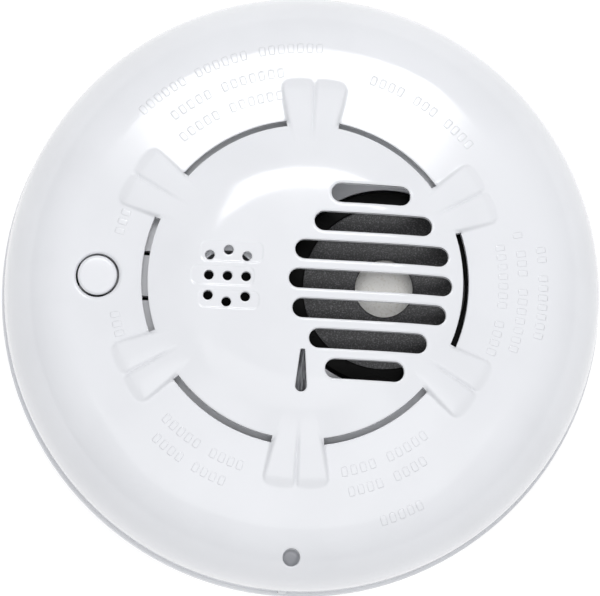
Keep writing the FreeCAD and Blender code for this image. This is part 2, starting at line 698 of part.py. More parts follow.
# ---- back housing ---------------------------------------------------------------------------
def channel():
    inner, outer = CHANNEL_RADII
    wall = CHANNEL_WALL
    roof = CHANNEL_ROOF + wall
    walls = tube(inner - wall, outer + wall, HOUSING_BACK, roof)
    return walls.cut(tube(inner, outer, HOUSING_BACK - 1, CHANNEL_ROOF))


def twist_lugs():
    """Ledges in the channel that the plate's hooks reach over, each with a stop at its end."""
    outer = CHANNEL_RADII[1] + 0.4
    parts = []
    for angle in HOOK_ANGLES:
        parts.append(sector(LUG_INNER_RADIUS, outer, angle - LUG_HALF_ANGLE, angle + LUG_HALF_ANGLE,
                            HOUSING_BACK, LUG_TOP))
        parts.append(sector(LUG_INNER_RADIUS, outer, angle + TWIST_STOP[0], angle + TWIST_STOP[1],
                            LUG_TOP - 0.1, CHANNEL_ROOF + 0.2))
    return parts


def snap_hooks():
    """Six barbs that hold the front cover by the groove inside its rim."""
    radius = CHANNEL_RADII[1] + CHANNEL_WALL
    base = tube(radius - 0.4, radius + 0.6, CHANNEL_ROOF, 13.0)
    foot, top = SNAP_GROOVE
    barbs = [sector(radius, COVER_RADIUS - 1.8, a - 6, a + 6, foot + 0.4, top - 0.4) for a in BRIDGE_ANGLES]
    return [base] + barbs


def bay_outline(grow, bottom, top):
    return block(-BAY_HALF_LENGTH - grow, BAY_HALF_LENGTH + grow, BAY_Y[0] - grow, BAY_Y[1] + grow,
                 bottom, top)


def along_hinge(radius, x0, x1):
    """A round bar on the door's hinge line."""
    return Part.makeCylinder(radius, x1 - x0, Vector(x0, HINGE_Y, HINGE_Z), Vector(1, 0, 0))


def hinge_gutter():
    """Half-round roof over the hinge line, so that the bay stays closed off from the inside."""
    reach = HINGE_GUTTER_RADIUS + BAY_WALL
    bar = along_hinge(reach, -BAY_HALF_LENGTH - BAY_WALL, BAY_HALF_LENGTH + BAY_WALL)
    return bar.common(block(-40, 40, BAY_Y[1] + 0.2, HINGE_Y + reach, HOUSING_BACK, HINGE_Z + reach))


def hinge_lugs():
    """Two hanging ears whose bores take the door's trunnions."""
    lugs = []
    for side in (1, -1):
        x0, x1 = sorted(side * x for x in HINGE_LUG_X)
        eye = along_hinge(HINGE_LUG_RADIUS, x0, x1)
        web = block(x0, x1, HINGE_Y - HINGE_LUG_RADIUS, HINGE_Y + HINGE_LUG_RADIUS,
                    HINGE_Z, HINGE_Z + HINGE_GUTTER_RADIUS)
        lugs.append(eye.fuse(web).cut(along_hinge(TRUNNION_RADIUS + PIN_GAP, x0 - 1, x1 + 1)))
    return lugs


def back_housing():
    floor = rod(HOUSING_RADIUS - 1.5, HOUSING_BACK, HOUSING_FLOOR)
    flange = rod(HOUSING_RADIUS, HOUSING_BACK, COVER_FOOT)
    inner, outer = CHANNEL_RADII
    bay = bay_outline(BAY_WALL, HOUSING_FLOOR - 0.5, BAY_ROOF + BAY_WALL)
    bosses = [rod(4.4, HOUSING_BACK, BOARD_BOTTOM, *polar(POST_CIRCLE, a)) for a in POST_ANGLES]
    base = joined([floor, flange]).cut(tube(inner, outer, HOUSING_BACK - 1, HOUSING_FLOOR + 1))
    body = joined([base, channel(), bay, hinge_gutter()] + bosses + twist_lugs() + snap_hooks())
    cuts = [bay_outline(0, HOUSING_BACK - 1, BAY_ROOF),
            along_hinge(HINGE_GUTTER_RADIUS, -BAY_HALF_LENGTH, BAY_HALF_LENGTH)]
    cuts += [rod(3.3, HOUSING_BACK - 1, 5.8, *polar(POST_CIRCLE, a)) for a in POST_ANGLES]
    cuts += [rod(1.7, 5, 15, *polar(POST_CIRCLE, a)) for a in POST_ANGLES]
    cuts += [block(-BAY_HALF_LENGTH - 2, -BAY_HALF_LENGTH + 1, y - 1.7, y + 1.7, 16.8, 17.8)
             for y in blade_places()]
    return joined([body.cut(cuts)] + hinge_lugs())


def battery_door():
    """Flat door in the bay's mouth, hung on two arms with moulded trunnions."""
    low, high = HINGE_ARM_X
    panel = rounded_block(-BAY_HALF_LENGTH + FIT_GAP, BAY_HALF_LENGTH - FIT_GAP,
                          BAY_Y[0] + FIT_GAP, DOOR_HINGE_EDGE,
                          HOUSING_BACK, HOUSING_BACK + DOOR_THICKNESS, 0.8)
    ribs = [block(x - 0.6, x + 0.6, BAY_Y[0] + 9.5, BAY_Y[1] - 2.5, HOUSING_BACK + DOOR_THICKNESS - 0.1,
                  BATTERY_BOTTOM - 0.1) for x in (-20, -7, 7, 20)]
    parts = [panel] + ribs
    for side in (1, -1):
        x0, x1 = sorted((side * low, side * high))
        pin0, pin1 = sorted((side * low, side * (HINGE_LUG_X[1] - 0.4)))
        parts.append(block(x0, x1, DOOR_HINGE_EDGE - 1, HINGE_Y, HOUSING_BACK + 0.1, HINGE_Z))
        parts.append(along_hinge(BARREL_RADIUS, x0, x1))
        parts.append(along_hinge(TRUNNION_RADIUS, pin0, pin1))
    finger_notch = Part.makeSphere(9.0, Vector(0, BAY_Y[0] + 4.5, HOUSING_BACK - 8.2))
    return joined(parts).cut(finger_notch)


def assembly_screws():
    screws = []
    for angle in POST_ANGLES:
        x, y = polar(POST_CIRCLE, angle)
        head = rod(3.0, 3.4, 5.8, x, y)
        rim = [e for e in head.Edges if abs(e.CenterOfMass.z - 3.4) < 0.01]
        head = head.makeFillet(0.7, rim)
        cross = [block(x - 1.9, x + 1.9, y - 0.35, y + 0.35, 3, 4.9),
                 block(x - 0.35, x + 0.35, y - 1.9, y + 1.9, 3, 4.9)]
        shank = rod(1.35, 5.7, 24.5, x, y)
        screws.append(joined([head, shank]).cut(cross))
    return Part.makeCompound(screws)


def rear_label():
    return rounded_block(-24, 24, -42, -14, HOUSING_BACK - 0.15, HOUSING_BACK, 3.0)


# ---- mounting plate -------------------------------------------------------------------------
def plate_ear(side):
    reach, width = PLATE_EAR
    x0, x1 = sorted((side * reach, side * (PLATE_HOLE_RADIUS + 2)))
    ear = block(x0, x1, -width / 2, width / 2, 0, PLATE_FLOOR)
    tip = [e for e in ear.Edges
           if abs(e.tangentAt(e.FirstParameter).z) > 0.99 and abs(abs(e.CenterOfMass.x) - reach) < 0.01]
    return ear.makeFillet(5.0, tip)


def hook(angle):
    """An upright with a lip turned outwards, over the housing's ledge."""
    start, end = angle - HOOK_HALF_ANGLE, angle + HOOK_HALF_ANGLE
    stem = sector(HOOK_STEM[0], HOOK_STEM[1], start, end, PLATE_FLOOR - 0.2, HOOK_LIP[1])
    lip = sector(HOOK_STEM[1] - 0.2, HOOK_LIP_RADIUS, start, end, HOOK_LIP[0], HOOK_LIP[1])
    return [stem, lip]


def mounting_plate():
    rim_radius, rim_height = PLATE_RIM
    disc = rod(PLATE_RADIUS, 0, rim_height)
    edge = [e for e in disc.Edges if abs(e.CenterOfMass.z - rim_height) < 0.01]
    disc = disc.makeFillet(0.7, edge)
    disc = disc.cut([rod(rim_radius, PLATE_FLOOR, rim_height + 1), rod(PLATE_HOLE_RADIUS, -1, 5)])
    hooks = [part for angle in HOOK_ANGLES for part in hook(angle)]
    plate = joined([disc, plate_ear(1), plate_ear(-1)] + hooks)
    half = PLATE_SLOT_LENGTH / 2
    cuts = [stadium(x - half, x + half, 0, 2 * PLATE_SLOT_RADIUS, -1, 5)
            for x in (PLATE_SLOT_SPACING / 2, -PLATE_SLOT_SPACING / 2)]
    cuts += [sector(HOOK_STEM[1] + 0.6, HOOK_LIP_RADIUS + 0.8, a - HOOK_HALF_ANGLE - 1,
                    a + HOOK_HALF_ANGLE + 1, -1, PLATE_FLOOR + 1) for a in HOOK_ANGLES]
    return plate.cut(cuts)


# ---- every piece, by name -------------------------------------------------------------------
PIECES = {
    "front_cover": front_cover,
    "mounting_plate": mounting_plate,
    "back_housing": back_housing,
    "battery_door": battery_door,
    "inner_frame": inner_frame,
    "test_button": test_button,
    "button_lever": button_lever,
    "test_switch_body": test_switch_body,
    "test_switch_plunger": test_switch_plunger,
    "indicator_light_pipe": indicator_light_pipe,
    "power_led": lambda: indicator_led(-19.0),
    "alarm_led": lambda: indicator_led(-22.0),
    "fault_led": lambda: indicator_led(-25.0),
    "horn_housing": horn_housing,
    "horn_front_plate": horn_front_plate,
    "horn_gasket": horn_gasket,
    "piezo_plate": piezo_plate,
    "piezo_ceramic": piezo_ceramic,
    "horn_contacts": horn_contacts,
    "horn_screws": horn_screws,
    "co_sensor_can": co_sensor_can,
    "co_sensor_cap": co_sensor_cap,
    "co_sensor_filter": co_sensor_filter,
    "co_sensor_pins": co_sensor_pins,
    "circuit_board": circuit_board,
    "microcontroller": microcontroller,
    "horn_driver_chip": horn_driver_chip,
    "sensor_amplifier_chip": sensor_amplifier_chip,
    "electrolytic_capacitors": electrolytic_capacitors,
    "chip_resistors": chip_resistors,
    "horn_boost_coil_core": horn_boost_coil_core,
    "horn_boost_coil_winding": horn_boost_coil_winding,
    "battery_case": battery_case,
    "battery_terminals": battery_terminals,
    "battery_snap": battery_snap,
    "battery_contacts": battery_contacts,
    "assembly_screws": assembly_screws,
    "rear_label": rear_label,
}


def main():
    os.makedirs("parts", exist_ok=True)
    for name, make in PIECES.items():
        shape = make()
        shape.exportStep(f"parts/{name}.step")
        print(f"{name}: {len(shape.Solids)} solid(s), {shape.Volume / 1000:.2f} cm3, valid {shape.isValid()}")


main()
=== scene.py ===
"""Looks for the round carbon monoxide alarm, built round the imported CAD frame.

Lengths inside this script are millimetres in the part's own frame and become metres when a mesh is made.
Only the distances and sizes of the camera and the lights are in metres.
"""

import math

import bpy
import numpy as np
from mathutils import Matrix, Vector
from mathutils.geometry import delaunay_2d_cdt
from mathutils.kdtree import KDTree


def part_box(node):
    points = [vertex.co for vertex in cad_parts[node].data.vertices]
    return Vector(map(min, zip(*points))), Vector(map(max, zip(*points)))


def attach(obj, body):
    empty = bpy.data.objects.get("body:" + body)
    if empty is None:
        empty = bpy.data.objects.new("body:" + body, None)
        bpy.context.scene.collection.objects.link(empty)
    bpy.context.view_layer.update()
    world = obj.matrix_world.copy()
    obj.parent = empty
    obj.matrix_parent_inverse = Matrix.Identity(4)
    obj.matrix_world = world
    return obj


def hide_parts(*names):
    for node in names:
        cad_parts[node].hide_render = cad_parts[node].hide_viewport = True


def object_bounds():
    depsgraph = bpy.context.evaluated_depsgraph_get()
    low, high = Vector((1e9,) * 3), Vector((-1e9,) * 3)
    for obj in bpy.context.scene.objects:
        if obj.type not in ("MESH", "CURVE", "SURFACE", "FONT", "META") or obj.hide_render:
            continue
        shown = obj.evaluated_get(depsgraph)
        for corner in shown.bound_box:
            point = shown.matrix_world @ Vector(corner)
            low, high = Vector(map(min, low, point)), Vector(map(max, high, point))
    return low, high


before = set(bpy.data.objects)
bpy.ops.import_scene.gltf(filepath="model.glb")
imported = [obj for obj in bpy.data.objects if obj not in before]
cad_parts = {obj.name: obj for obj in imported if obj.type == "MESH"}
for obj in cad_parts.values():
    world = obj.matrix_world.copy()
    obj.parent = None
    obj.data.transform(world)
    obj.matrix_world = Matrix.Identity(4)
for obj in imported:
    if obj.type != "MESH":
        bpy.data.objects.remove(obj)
cad_low, cad_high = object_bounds()

MM = 0.001
SEED = 7


def node_box(name):
    """Lowest and highest corner of a CAD node, in millimetres."""
    low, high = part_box(name)
    return np.array(low) / MM, np.array(high) / MM


def node_centre(name):
    low, high = node_box(name)
    return (low + high) / 2


# ---- sizes, from the frame where it has them --------------------------------------------------
COVER_LOW, COVER_HIGH = node_box("front_cover")
COVER_FOOT = COVER_LOW[2]
COVER_RADIUS = COVER_HIGH[0]
APEX = COVER_HIGH[2]
SENSOR_X = node_centre("co_sensor_can")[0]
BUTTON_X, BUTTON_Y, _ = node_centre("test_button")
BUTTON_LOW, BUTTON_HIGH = node_box("test_button")
BUTTON_RADIUS = (BUTTON_HIGH - BUTTON_LOW)[0] / 2

COVER_WALL = 2.4
DOME_RADIUS = 300.0
FLAT_RADIUS = 22.6
SKIRT_RADIUS = 31.9
SKIRT_SLOPE = math.radians(19.5)
CAP_EDGE = 38.3
RING_EDGE = 39.8
RING_HEIGHT = APEX - 6.8
RING_SLOPE = math.radians(9.0)
SHOULDER = 57.5
SHOULDER_FOOT = COVER_FOOT + 8.0
SHOULDER_PULLS = (9.3, 12.9)
PULL_INSET_SHARE = 0.55
FOOT_ROUNDING = 0.6
SIDE_WALL_ZONE = 3

GRILLE_X = 15.7
GRILLE_Y = 0.3
GRILLE_PITCH = 7.14
GRILLE_HEIGHT = 4.8
GRILLE_SLOTS = ((3, -0.9, 19.3), (2, 0, 28.7), (1, 0, 37.4), (0, 0, 39.8),
                (-1, 0, 37.4), (-2, 0, 28.7), (-3, -0.5, 19.3))
GAS_HOLE_RADIUS = 1.175
GAS_HOLES = ((0, 0), (4.5, 0), (-4.5, 0), (0, 6.3), (0, -6.3),
             (4.5, 4.9), (-4.5, 4.9), (4.5, -4.9), (-4.5, -4.9))
GAS_BANDS = ((5.9, -6.7, 8.3, 4.9), (0.0, -8.8, 6.4, 4.6), (-5.7, -6.8, 7.9, 4.3))
BAND_DEPTH = 0.12
BAND_EDGE = 0.24
BAND_CORNER = 1.5
BAND_STEP = 0.4
GAP_NECK_HALF = 6.35
WINDOW = ((-16.9, 1.15), (-27.1, 2.8))
WINDOW_SHOULDER = 0.2
WINDOW_CROWN = 0.12
BUTTON_HOLE_RADIUS = 5.3
ACCESS_HOLE = (0.0, -66.5, 2.125)
ACCESS_SIDES = 48
COLLAR_FLOOR = 24.0
COLLAR_WALL = 1.3
COLLAR_BURY = 0.3
RIB = (-1.3, 2.2, 0.5, 9.0)
RIB_BEVEL = 0.3
RIB_ROOT = 0.5
RIB_TIP = ((0.5, 1.0), (0.15, 0.75), (0, 0.2))


# ---- meshes ------------------------------------------------------------------------------------
def mesh_object(name, points, faces, smooth=True):
    mesh = bpy.data.meshes.new(name)
    mesh.from_pydata((np.asarray(points, float) * MM).tolist(), [], faces)
    mesh.validate()
    mesh.update()
    if smooth:
        mesh.polygons.foreach_set("use_smooth", [True] * len(mesh.polygons))
    made = bpy.data.objects.new(name, mesh)
    bpy.context.scene.collection.objects.link(made)
    return made


def grid_faces(start, rows, columns):
    """Faces of a grid whose points are laid row by row."""
    faces = []
    for i in range(rows - 1):
        for j in range(columns - 1):
            k = start + i * columns + j
            faces.append([k + columns, k + columns + 1, k + 1, k])
    return faces


def grid_border(rows, columns):
    """The points round a grid's border, in order."""
    border = list(range(columns))
    border += [i * columns + columns - 1 for i in range(1, rows)]
    border += [(rows - 1) * columns + j for j in range(columns - 2, -1, -1)]
    border += [i * columns for i in range(rows - 2, 0, -1)]
    return border


def sleeve_faces(start, levels, count):
    """Faces between rings of points that follow each other."""
    faces = []
    for level in range(levels - 1):
        for i in range(count):
            a = start + level * count + i
            b = start + level * count + (i + 1) % count
            faces.append([a, a + count, b + count, b])
    return faces


def kd_tree(points):
    """Search tree over (x, y) points."""
    tree = KDTree(len(points))
    for i, (x, y) in enumerate(points):
        tree.insert((x, y, 0), i)
    tree.balance()
    return tree


def ring_of(radius, centre, count):
    a = np.arange(count) * 2 * math.pi / count
    return np.stack((centre[0] + radius * np.cos(a), centre[1] + radius * np.sin(a)), 1)


def turned(points, angle):
    """(x, y) points turned about the origin."""
    turn = np.array(((math.cos(angle), -math.sin(angle)), (math.sin(angle), math.cos(angle))))
    return points @ turn.T


def smooth_step(t):
    return t * t * (3 - 2 * t)


def rounding_fall(radius, x):
    """How far a round edge has fallen at x from where it starts."""
    return radius - np.sqrt(np.maximum(radius ** 2 - x ** 2, 0))


# ---- the cover's outline ---------------------------------------------------------------------
def bezier(poles, count):
    t = np.linspace(0, 1, count)[:, None]
    a, b, c, d = (np.array(p) for p in poles)
    return (1 - t) ** 3 * a + 3 * t * (1 - t) ** 2 * b + 3 * t ** 2 * (1 - t) * c + t ** 3 * d


class Outline:
    """The cover's section. s is the radius up to the shoulder, and length along the outline past it."""

    def __init__(self, inset, foot_rounding):
        shallow = math.asin(FLAT_RADIUS / DOME_RADIUS)
        roll = (SKIRT_RADIUS - FLAT_RADIUS) / (math.sin(SKIRT_SLOPE) - math.sin(shallow))
        flat_z = APEX - DOME_RADIUS * (1 - math.cos(shallow))
        skirt_z = flat_z - roll * (math.cos(shallow) - math.cos(SKIRT_SLOPE))
        edge_z = skirt_z - (CAP_EDGE - SKIRT_RADIUS) * math.tan(SKIRT_SLOPE)
        shoulder_z = RING_HEIGHT - (SHOULDER - RING_EDGE) * math.tan(RING_SLOPE)

        def moved(r, z, slope):
            return r - inset * np.sin(slope), z - inset * np.cos(slope)

        dome = np.linspace(0, shallow, 60)
        turn = np.linspace(shallow, SKIRT_SLOPE, 40)[1:]
        parts = [
            moved(DOME_RADIUS * np.sin(dome), APEX - DOME_RADIUS * (1 - np.cos(dome)), dome),
            moved(FLAT_RADIUS + roll * (np.sin(turn) - math.sin(shallow)),
                  flat_z - roll * (math.cos(shallow) - np.cos(turn)), turn),
            moved(CAP_EDGE, edge_z, SKIRT_SLOPE),
            moved(RING_EDGE, RING_HEIGHT, RING_SLOPE),
        ]
        start = np.array(moved(SHOULDER, shoulder_z, RING_SLOPE))
        side = np.array((COVER_RADIUS - inset, SHOULDER_FOOT))
        first, last = (pull - PULL_INSET_SHARE * inset for pull in SHOULDER_PULLS)
        along = np.array((math.cos(RING_SLOPE), -math.sin(RING_SLOPE)))
        curve = bezier((start, start + first * along, side + (0, last), side), 400)
        corner = np.linspace(0, math.pi / 2, 9)
        foot = np.array((COVER_RADIUS - inset, COVER_FOOT))
        if foot_rounding:
            rounding = foot + foot_rounding * np.stack((np.cos(corner) - 1, 1 - np.sin(corner)), 1)
        else:
            rounding = foot[None]
        rows = [np.stack(np.broadcast_arrays(*p), -1).reshape(-1, 2) for p in parts]
        points = np.concatenate(rows + [curve, rounding])
        self.r, self.z = points.T
        tail = int(np.argmin(np.abs(self.r - start[0])))
        steps = np.hypot(np.diff(self.r), np.diff(self.z))
        self.s = self.r.copy()
        self.s[tail + 1:] = self.s[tail] + np.cumsum(steps[tail:])
        self.end = self.s[-1]

    def place(self, s):
        return np.interp(s, self.s, self.r), np.interp(s, self.s, self.z)

    def s_of(self, r):
        """s for a radius inside the side wall."""
        inside = self.r < COVER_RADIUS - SIDE_WALL_ZONE
        return np.interp(r, self.r[inside], self.s[inside])


OUTER = Outline(0.0, FOOT_ROUNDING)
INNER = Outline(COVER_WALL, 0.0)


# ---- openings ----------------------------------------------------------------------------------
def stadium(x0, x1, y, height, step=0.55):
    """A slot with round ends along X, as a closed outline."""
    r = height / 2
    caps = max(6, int(math.pi * r / step))
    right = np.linspace(-math.pi / 2, math.pi / 2, caps + 1)
    count = max(2, int((x1 - x0 - height) / step))
    run = np.linspace(x0 + r, x1 - r, count + 1)[1:-1]
    points = [(x1 - r + r * math.cos(a), y + r * math.sin(a)) for a in right]
    points += [(x, y + r) for x in run[::-1]]
    points += [(x0 + r - r * math.cos(a), y + r * math.sin(a)) for a in right[::-1]]
    points += [(x, y - r) for x in run]
    return np.array(points)


def rounded_rectangle(x0, x1, y, height, corner, step):
    """A rectangle with round corners, its middle line along y, as a closed outline."""
    turn = np.linspace(0, math.pi / 2, 7)
    points = []
    corners = ((x1 - corner, y + height / 2 - corner), (x0 + corner, y + height / 2 - corner),
               (x0 + corner, y - height / 2 + corner), (x1 - corner, y - height / 2 + corner))
    for k, (cx, cy) in enumerate(corners):
        arc = [(cx + corner * math.cos(a + k * math.pi / 2), cy + corner * math.sin(a + k * math.pi / 2))
               for a in turn]
        if points:
            points += straight_run(points[-1], arc[0], step)
        points += arc
    return np.array(points + straight_run(points[-1], points[0], step))


def straight_run(start, end, step):
    """Points between two others, a step or less apart."""
    (x0, y0), (x1, y1) = start, end
    count = max(2, math.ceil(math.hypot(x1 - x0, y1 - y0) / step))
    return [(x0 + (x1 - x0) * i / count, y0 + (y1 - y0) * i / count) for i in range(1, count)]


def air_gap(middle_angle):
    """A curved slot between cap and ring, cut off square beside the bridges."""
    middle = (RING_EDGE + CAP_EDGE) / 2
    half = math.radians(30) - math.asin(GAP_NECK_HALF / middle)
    sweep = np.linspace(-half, half, 56)
    across = np.linspace(CAP_EDGE, RING_EDGE, 5)[1:-1]
    points = [(RING_EDGE * math.cos(a), RING_EDGE * math.sin(a)) for a in sweep]
    points += [(r * math.cos(half), r * math.sin(half)) for r in across[::-1]]
    points += [(CAP_EDGE * math.cos(a), CAP_EDGE * math.sin(a)) for a in sweep[::-1]]
    points += [(r * math.cos(half), -r * math.sin(half)) for r in across]
    return turned(np.array(points), math.radians(middle_angle))


def window_outline():
    """The indicator window: a wedge with its wide end rounded."""
    (y_top, w_top), (y_foot, w_foot) = WINDOW
    r = w_foot / 2
    h = w_top / 2
    y_arc = y_foot + r
    y_side = y_top - WINDOW_SHOULDER
    arc = np.linspace(math.pi, 2 * math.pi, 13)
    side = np.linspace(0, 1, 20)[1:-1]
    points = [(-h, y_top), (-h, y_side)]
    points += [(-h + (h - r) * t, y_side + (y_arc - y_side) * t) for t in side]
    points += [(r * math.cos(a), y_arc + r * math.sin(a)) for a in arc]
    points += [(r + (h - r) * t, y_arc + (y_side - y_arc) * t) for t in side]
    points += [(h, y_side), (h, y_top), (0.0, y_top + WINDOW_CROWN)]
    return np.array(points)


GAS_HOLE_SIDES = 28
BUTTON_SIDES = 96
# How far each kind of opening has its edge rounded over.
SLOT_LIP = 0.45
GAS_HOLE_LIP = 0.28
AIR_GAP_LIP = 0.2
WINDOW_LIP = 0.3
BUTTON_LIP = 0.9
ACCESS_LIP = 0.35


def openings():
    """Every opening in the cover: its outline and the width of its rounded edge."""
    found = []
    for row, shift, length in GRILLE_SLOTS:
        middle = GRILLE_X + shift
        y = GRILLE_Y + row * GRILLE_PITCH
        found.append((stadium(middle - length / 2, middle + length / 2, y, GRILLE_HEIGHT), SLOT_LIP))
    found += [(ring_of(GAS_HOLE_RADIUS, (SENSOR_X + x, y), GAS_HOLE_SIDES), GAS_HOLE_LIP)
              for x, y in GAS_HOLES]
    found += [(air_gap(angle), AIR_GAP_LIP) for angle in range(0, 360, 60)]
    found.append((window_outline(), WINDOW_LIP))
    found.append((ring_of(BUTTON_HOLE_RADIUS, (BUTTON_X, BUTTON_Y), BUTTON_SIDES), BUTTON_LIP))
    x, y, radius = ACCESS_HOLE
    found.append((ring_of(radius, (x, y), ACCESS_SIDES), ACCESS_LIP))
    return found


def anticlockwise(outline):
    x, y = outline.T
    area = np.sum(x * np.roll(y, -1) - np.roll(x, -1) * y)
    return outline if area > 0 else outline[::-1]


def unit(directions):
    return directions / np.linalg.norm(directions, axis=1)[:, None]


def grown(outline, distance):
    """A closed outline moved outwards."""
    ahead = unit(np.roll(outline, -1, 0) - outline)
    behind = unit(outline - np.roll(outline, 1, 0))
    direction = unit(ahead + behind)
    return outline + distance * np.stack((direction[:, 1], -direction[:, 0]), 1)


NEAR = 3.0
FAR = 99.0


def signed_distance(points, outline):
    """Distance from each point to a closed outline, negative inside it. Far points all get FAR."""
    low, high = outline.min(0) - NEAR, outline.max(0) + NEAR
    near = np.all((points > low) & (points < high), axis=1)
    result = np.full(len(points), FAR)
    if not near.any():
        return result
    p = points[near]
    best = np.full(len(p), 1e9)
    crossings = np.zeros(len(p), int)
    for a, b in zip(outline, np.roll(outline, -1, 0)):
        edge = b - a
        t = np.clip(((p - a) @ edge) / (edge @ edge), 0, 1)
        away = p - a - t[:, None] * edge
        best = np.minimum(best, (away ** 2).sum(1))
        spans = (a[1] > p[:, 1]) != (b[1] > p[:, 1])
        if spans.any() and b[1] != a[1]:
            where = (b[0] - a[0]) * (p[:, 1] - a[1]) / (b[1] - a[1]) + a[0]
            crossings += spans & (p[:, 0] < where)
    result[near] = np.sqrt(best) * np.where(crossings % 2 == 1, -1, 1)
    return result


OPENINGS = [(anticlockwise(outline), lip) for outline, lip in openings()]


# ---- the cover's surface -----------------------------------------------------------------------
BRIDGES = 6
BRIDGE_TURN = 2 * math.pi / BRIDGES
CREST = (42.59, -0.296, 0.00152)
CREST_START = 30.0
CREST_BLEND = 0.2
BRIDGE_ZONE = (31, 53)
BRIDGE_END = 50.9
BRIDGE_BULGE = 0.012
BRIDGE_NECK = (39, 6.05)
BRIDGE_TAPER = 0.235
BRIDGE_CORNER = 2.8
CORNER_PLACE = 6
BRIDGE_EDGE = 0.9
BRIDGE_SIDE = math.radians(64)
RUN_OFF = (48.1, 0.34, 0.5)
LOBE = 0.2
LOBE_AT_START = 0.4
GROOVE_START = 34.0
GROOVE_DEPTH = 0.7
GROOVE_HALF = (0.4, 0.68)
GROOVE_POWER = 1.25


def bridge_axes(x, y):
    """Each point's place along and across the nearest bridge."""
    r = np.hypot(x, y)
    a = np.arctan2(y, x)
    first = BRIDGE_TURN / 2
    a = a - (first + BRIDGE_TURN * np.round((a - first) / BRIDGE_TURN))
    return r * np.cos(a), r * np.sin(a), r


def bridge_half(u):
    """Half a bridge's width at a place along it."""
    place, half = BRIDGE_NECK
    return half + BRIDGE_TAPER * (u - place)


def bridge_distance(u, v):
    """Distance outside the edge of a bridge's top, negative on it."""
    side = (np.abs(v) - bridge_half(u)) * math.cos(math.atan(BRIDGE_TAPER))
    end = u - (BRIDGE_END - BRIDGE_BULGE * v * v)
    both = np.hypot(np.maximum(side + BRIDGE_CORNER, 0), np.maximum(end + BRIDGE_CORNER, 0))
    return both - BRIDGE_CORNER + np.minimum(np.maximum(side, end) + BRIDGE_CORNER, 0)


def groove_share(u):
    """0 where the groove starts and 1 at the bridge's end."""
    return (u - GROOVE_START) / (BRIDGE_END - GROOVE_START)


def groove_half(share):
    narrow, wide = GROOVE_HALF
    return narrow + (wide - narrow) * share


def bridge_top(x, y):
    """Height of the bridges: a crest with two lobes, a groove, a run-off and rounded, sloping sides."""
    u, v, r = bridge_axes(x, y)
    ahead = r - CREST_START
    top = CREST[0] + CREST[1] * ahead + CREST[2] * ahead ** 2
    half = bridge_half(u)
    across = np.clip((np.abs(v) - half / 2) / (half / 2), -1, 1)
    share = np.clip(groove_share(u), 0, 1)
    top = top - LOBE * across ** 2 * (LOBE_AT_START + (1 - LOBE_AT_START) * share)
    inside = np.clip(np.abs(v) / groove_half(share), 0, 1)
    top = top - GROOVE_DEPTH * np.sqrt(share) * (1 - inside) ** GROOVE_POWER
    start, slope, softness = RUN_OFF
    past = u + BRIDGE_BULGE * v * v - start
    top = top - slope * (past + np.sqrt(past ** 2 + softness ** 2)) / 2
    outside = bridge_distance(u, v) + BRIDGE_EDGE
    knee = BRIDGE_EDGE * math.sin(BRIDGE_SIDE)
    fall = rounding_fall(BRIDGE_EDGE, np.clip(outside, 0, knee))
    return top - fall - np.maximum(outside - knee, 0) * math.tan(BRIDGE_SIDE)


def smooth_max(a, b, width):
    near = np.maximum(width - np.abs(a - b), 0) / width
    return np.maximum(a, b) + near ** 2 * width / 4


def band_outlines():
    """The shallow sunk bands round the gas holes."""
    return [anticlockwise(rounded_rectangle(SENSOR_X + x0, SENSOR_X + x1, y, height, BAND_CORNER, BAND_STEP))
            for y, x0, x1, height in GAS_BANDS]


def surface_height(x, y, base):
    """Outer surface above each point, with bridges, bands and rounded opening edges."""
    points = np.stack((x, y), 1)
    height = base.copy()
    r = np.hypot(x, y)
    zone = (r > BRIDGE_ZONE[0]) & (r < BRIDGE_ZONE[1])
    height[zone] = smooth_max(base[zone], bridge_top(x[zone], y[zone]), CREST_BLEND)
    for outline in band_outlines():
        share = np.clip(0.5 - signed_distance(points, outline) / BAND_EDGE, 0, 1)
        height -= BAND_DEPTH * smooth_step(share)
    for outline, lip in OPENINGS:
        distance = np.clip(signed_distance(points, outline), 0, lip)
        height -= rounding_fall(lip, lip - distance)
    return height


# ---- the cover's mesh ----------------------------------------------------------------------------
RIM_COUNT = 480
BRIDGE_OFFSETS = (-2.4, -1.5, -0.9, -0.6, -0.3, 0.0, 0.35, 0.7)
GROOVE_SHARES = (-2.0, -1, -0.5, 0, 0.5, 1, 2.0)
SIDE_STEPS = 34
CORNER_STEPS = 9
END_STEPS = 12
BAND_SHARES = (-1.7, -0.5, 0.0, 0.5, 1.7)
WIDE_LIP_STEPS = (0, 0.12, 0.35, 0.7, 1.0)
NARROW_LIP_STEPS = (0, 0.3, 1.0, 2.0)
WIDE_LIP = 0.5
BRIDGE_MARGIN = 0.25
BAND_MARGIN = 0.32
FINE_ZONE = (29, 52)
OUTER_GAP = 0.5
INNER_GAP = 1.0
CROWDED = 0.55


def to_plan(points, outline):
    """Moves (x, y) points to the plan in which the cover's outline is laid out flat."""
    r = np.hypot(points[:, 0], points[:, 1])
    return points * (outline.s_of(r) / np.maximum(r, 1e-9))[:, None]


def from_plan(points, outline):
    s = np.hypot(points[:, 0], points[:, 1])
    r, z = outline.place(s)
    scale = r / np.maximum(s, 1e-9)
    return points[:, 0] * scale, points[:, 1] * scale, z


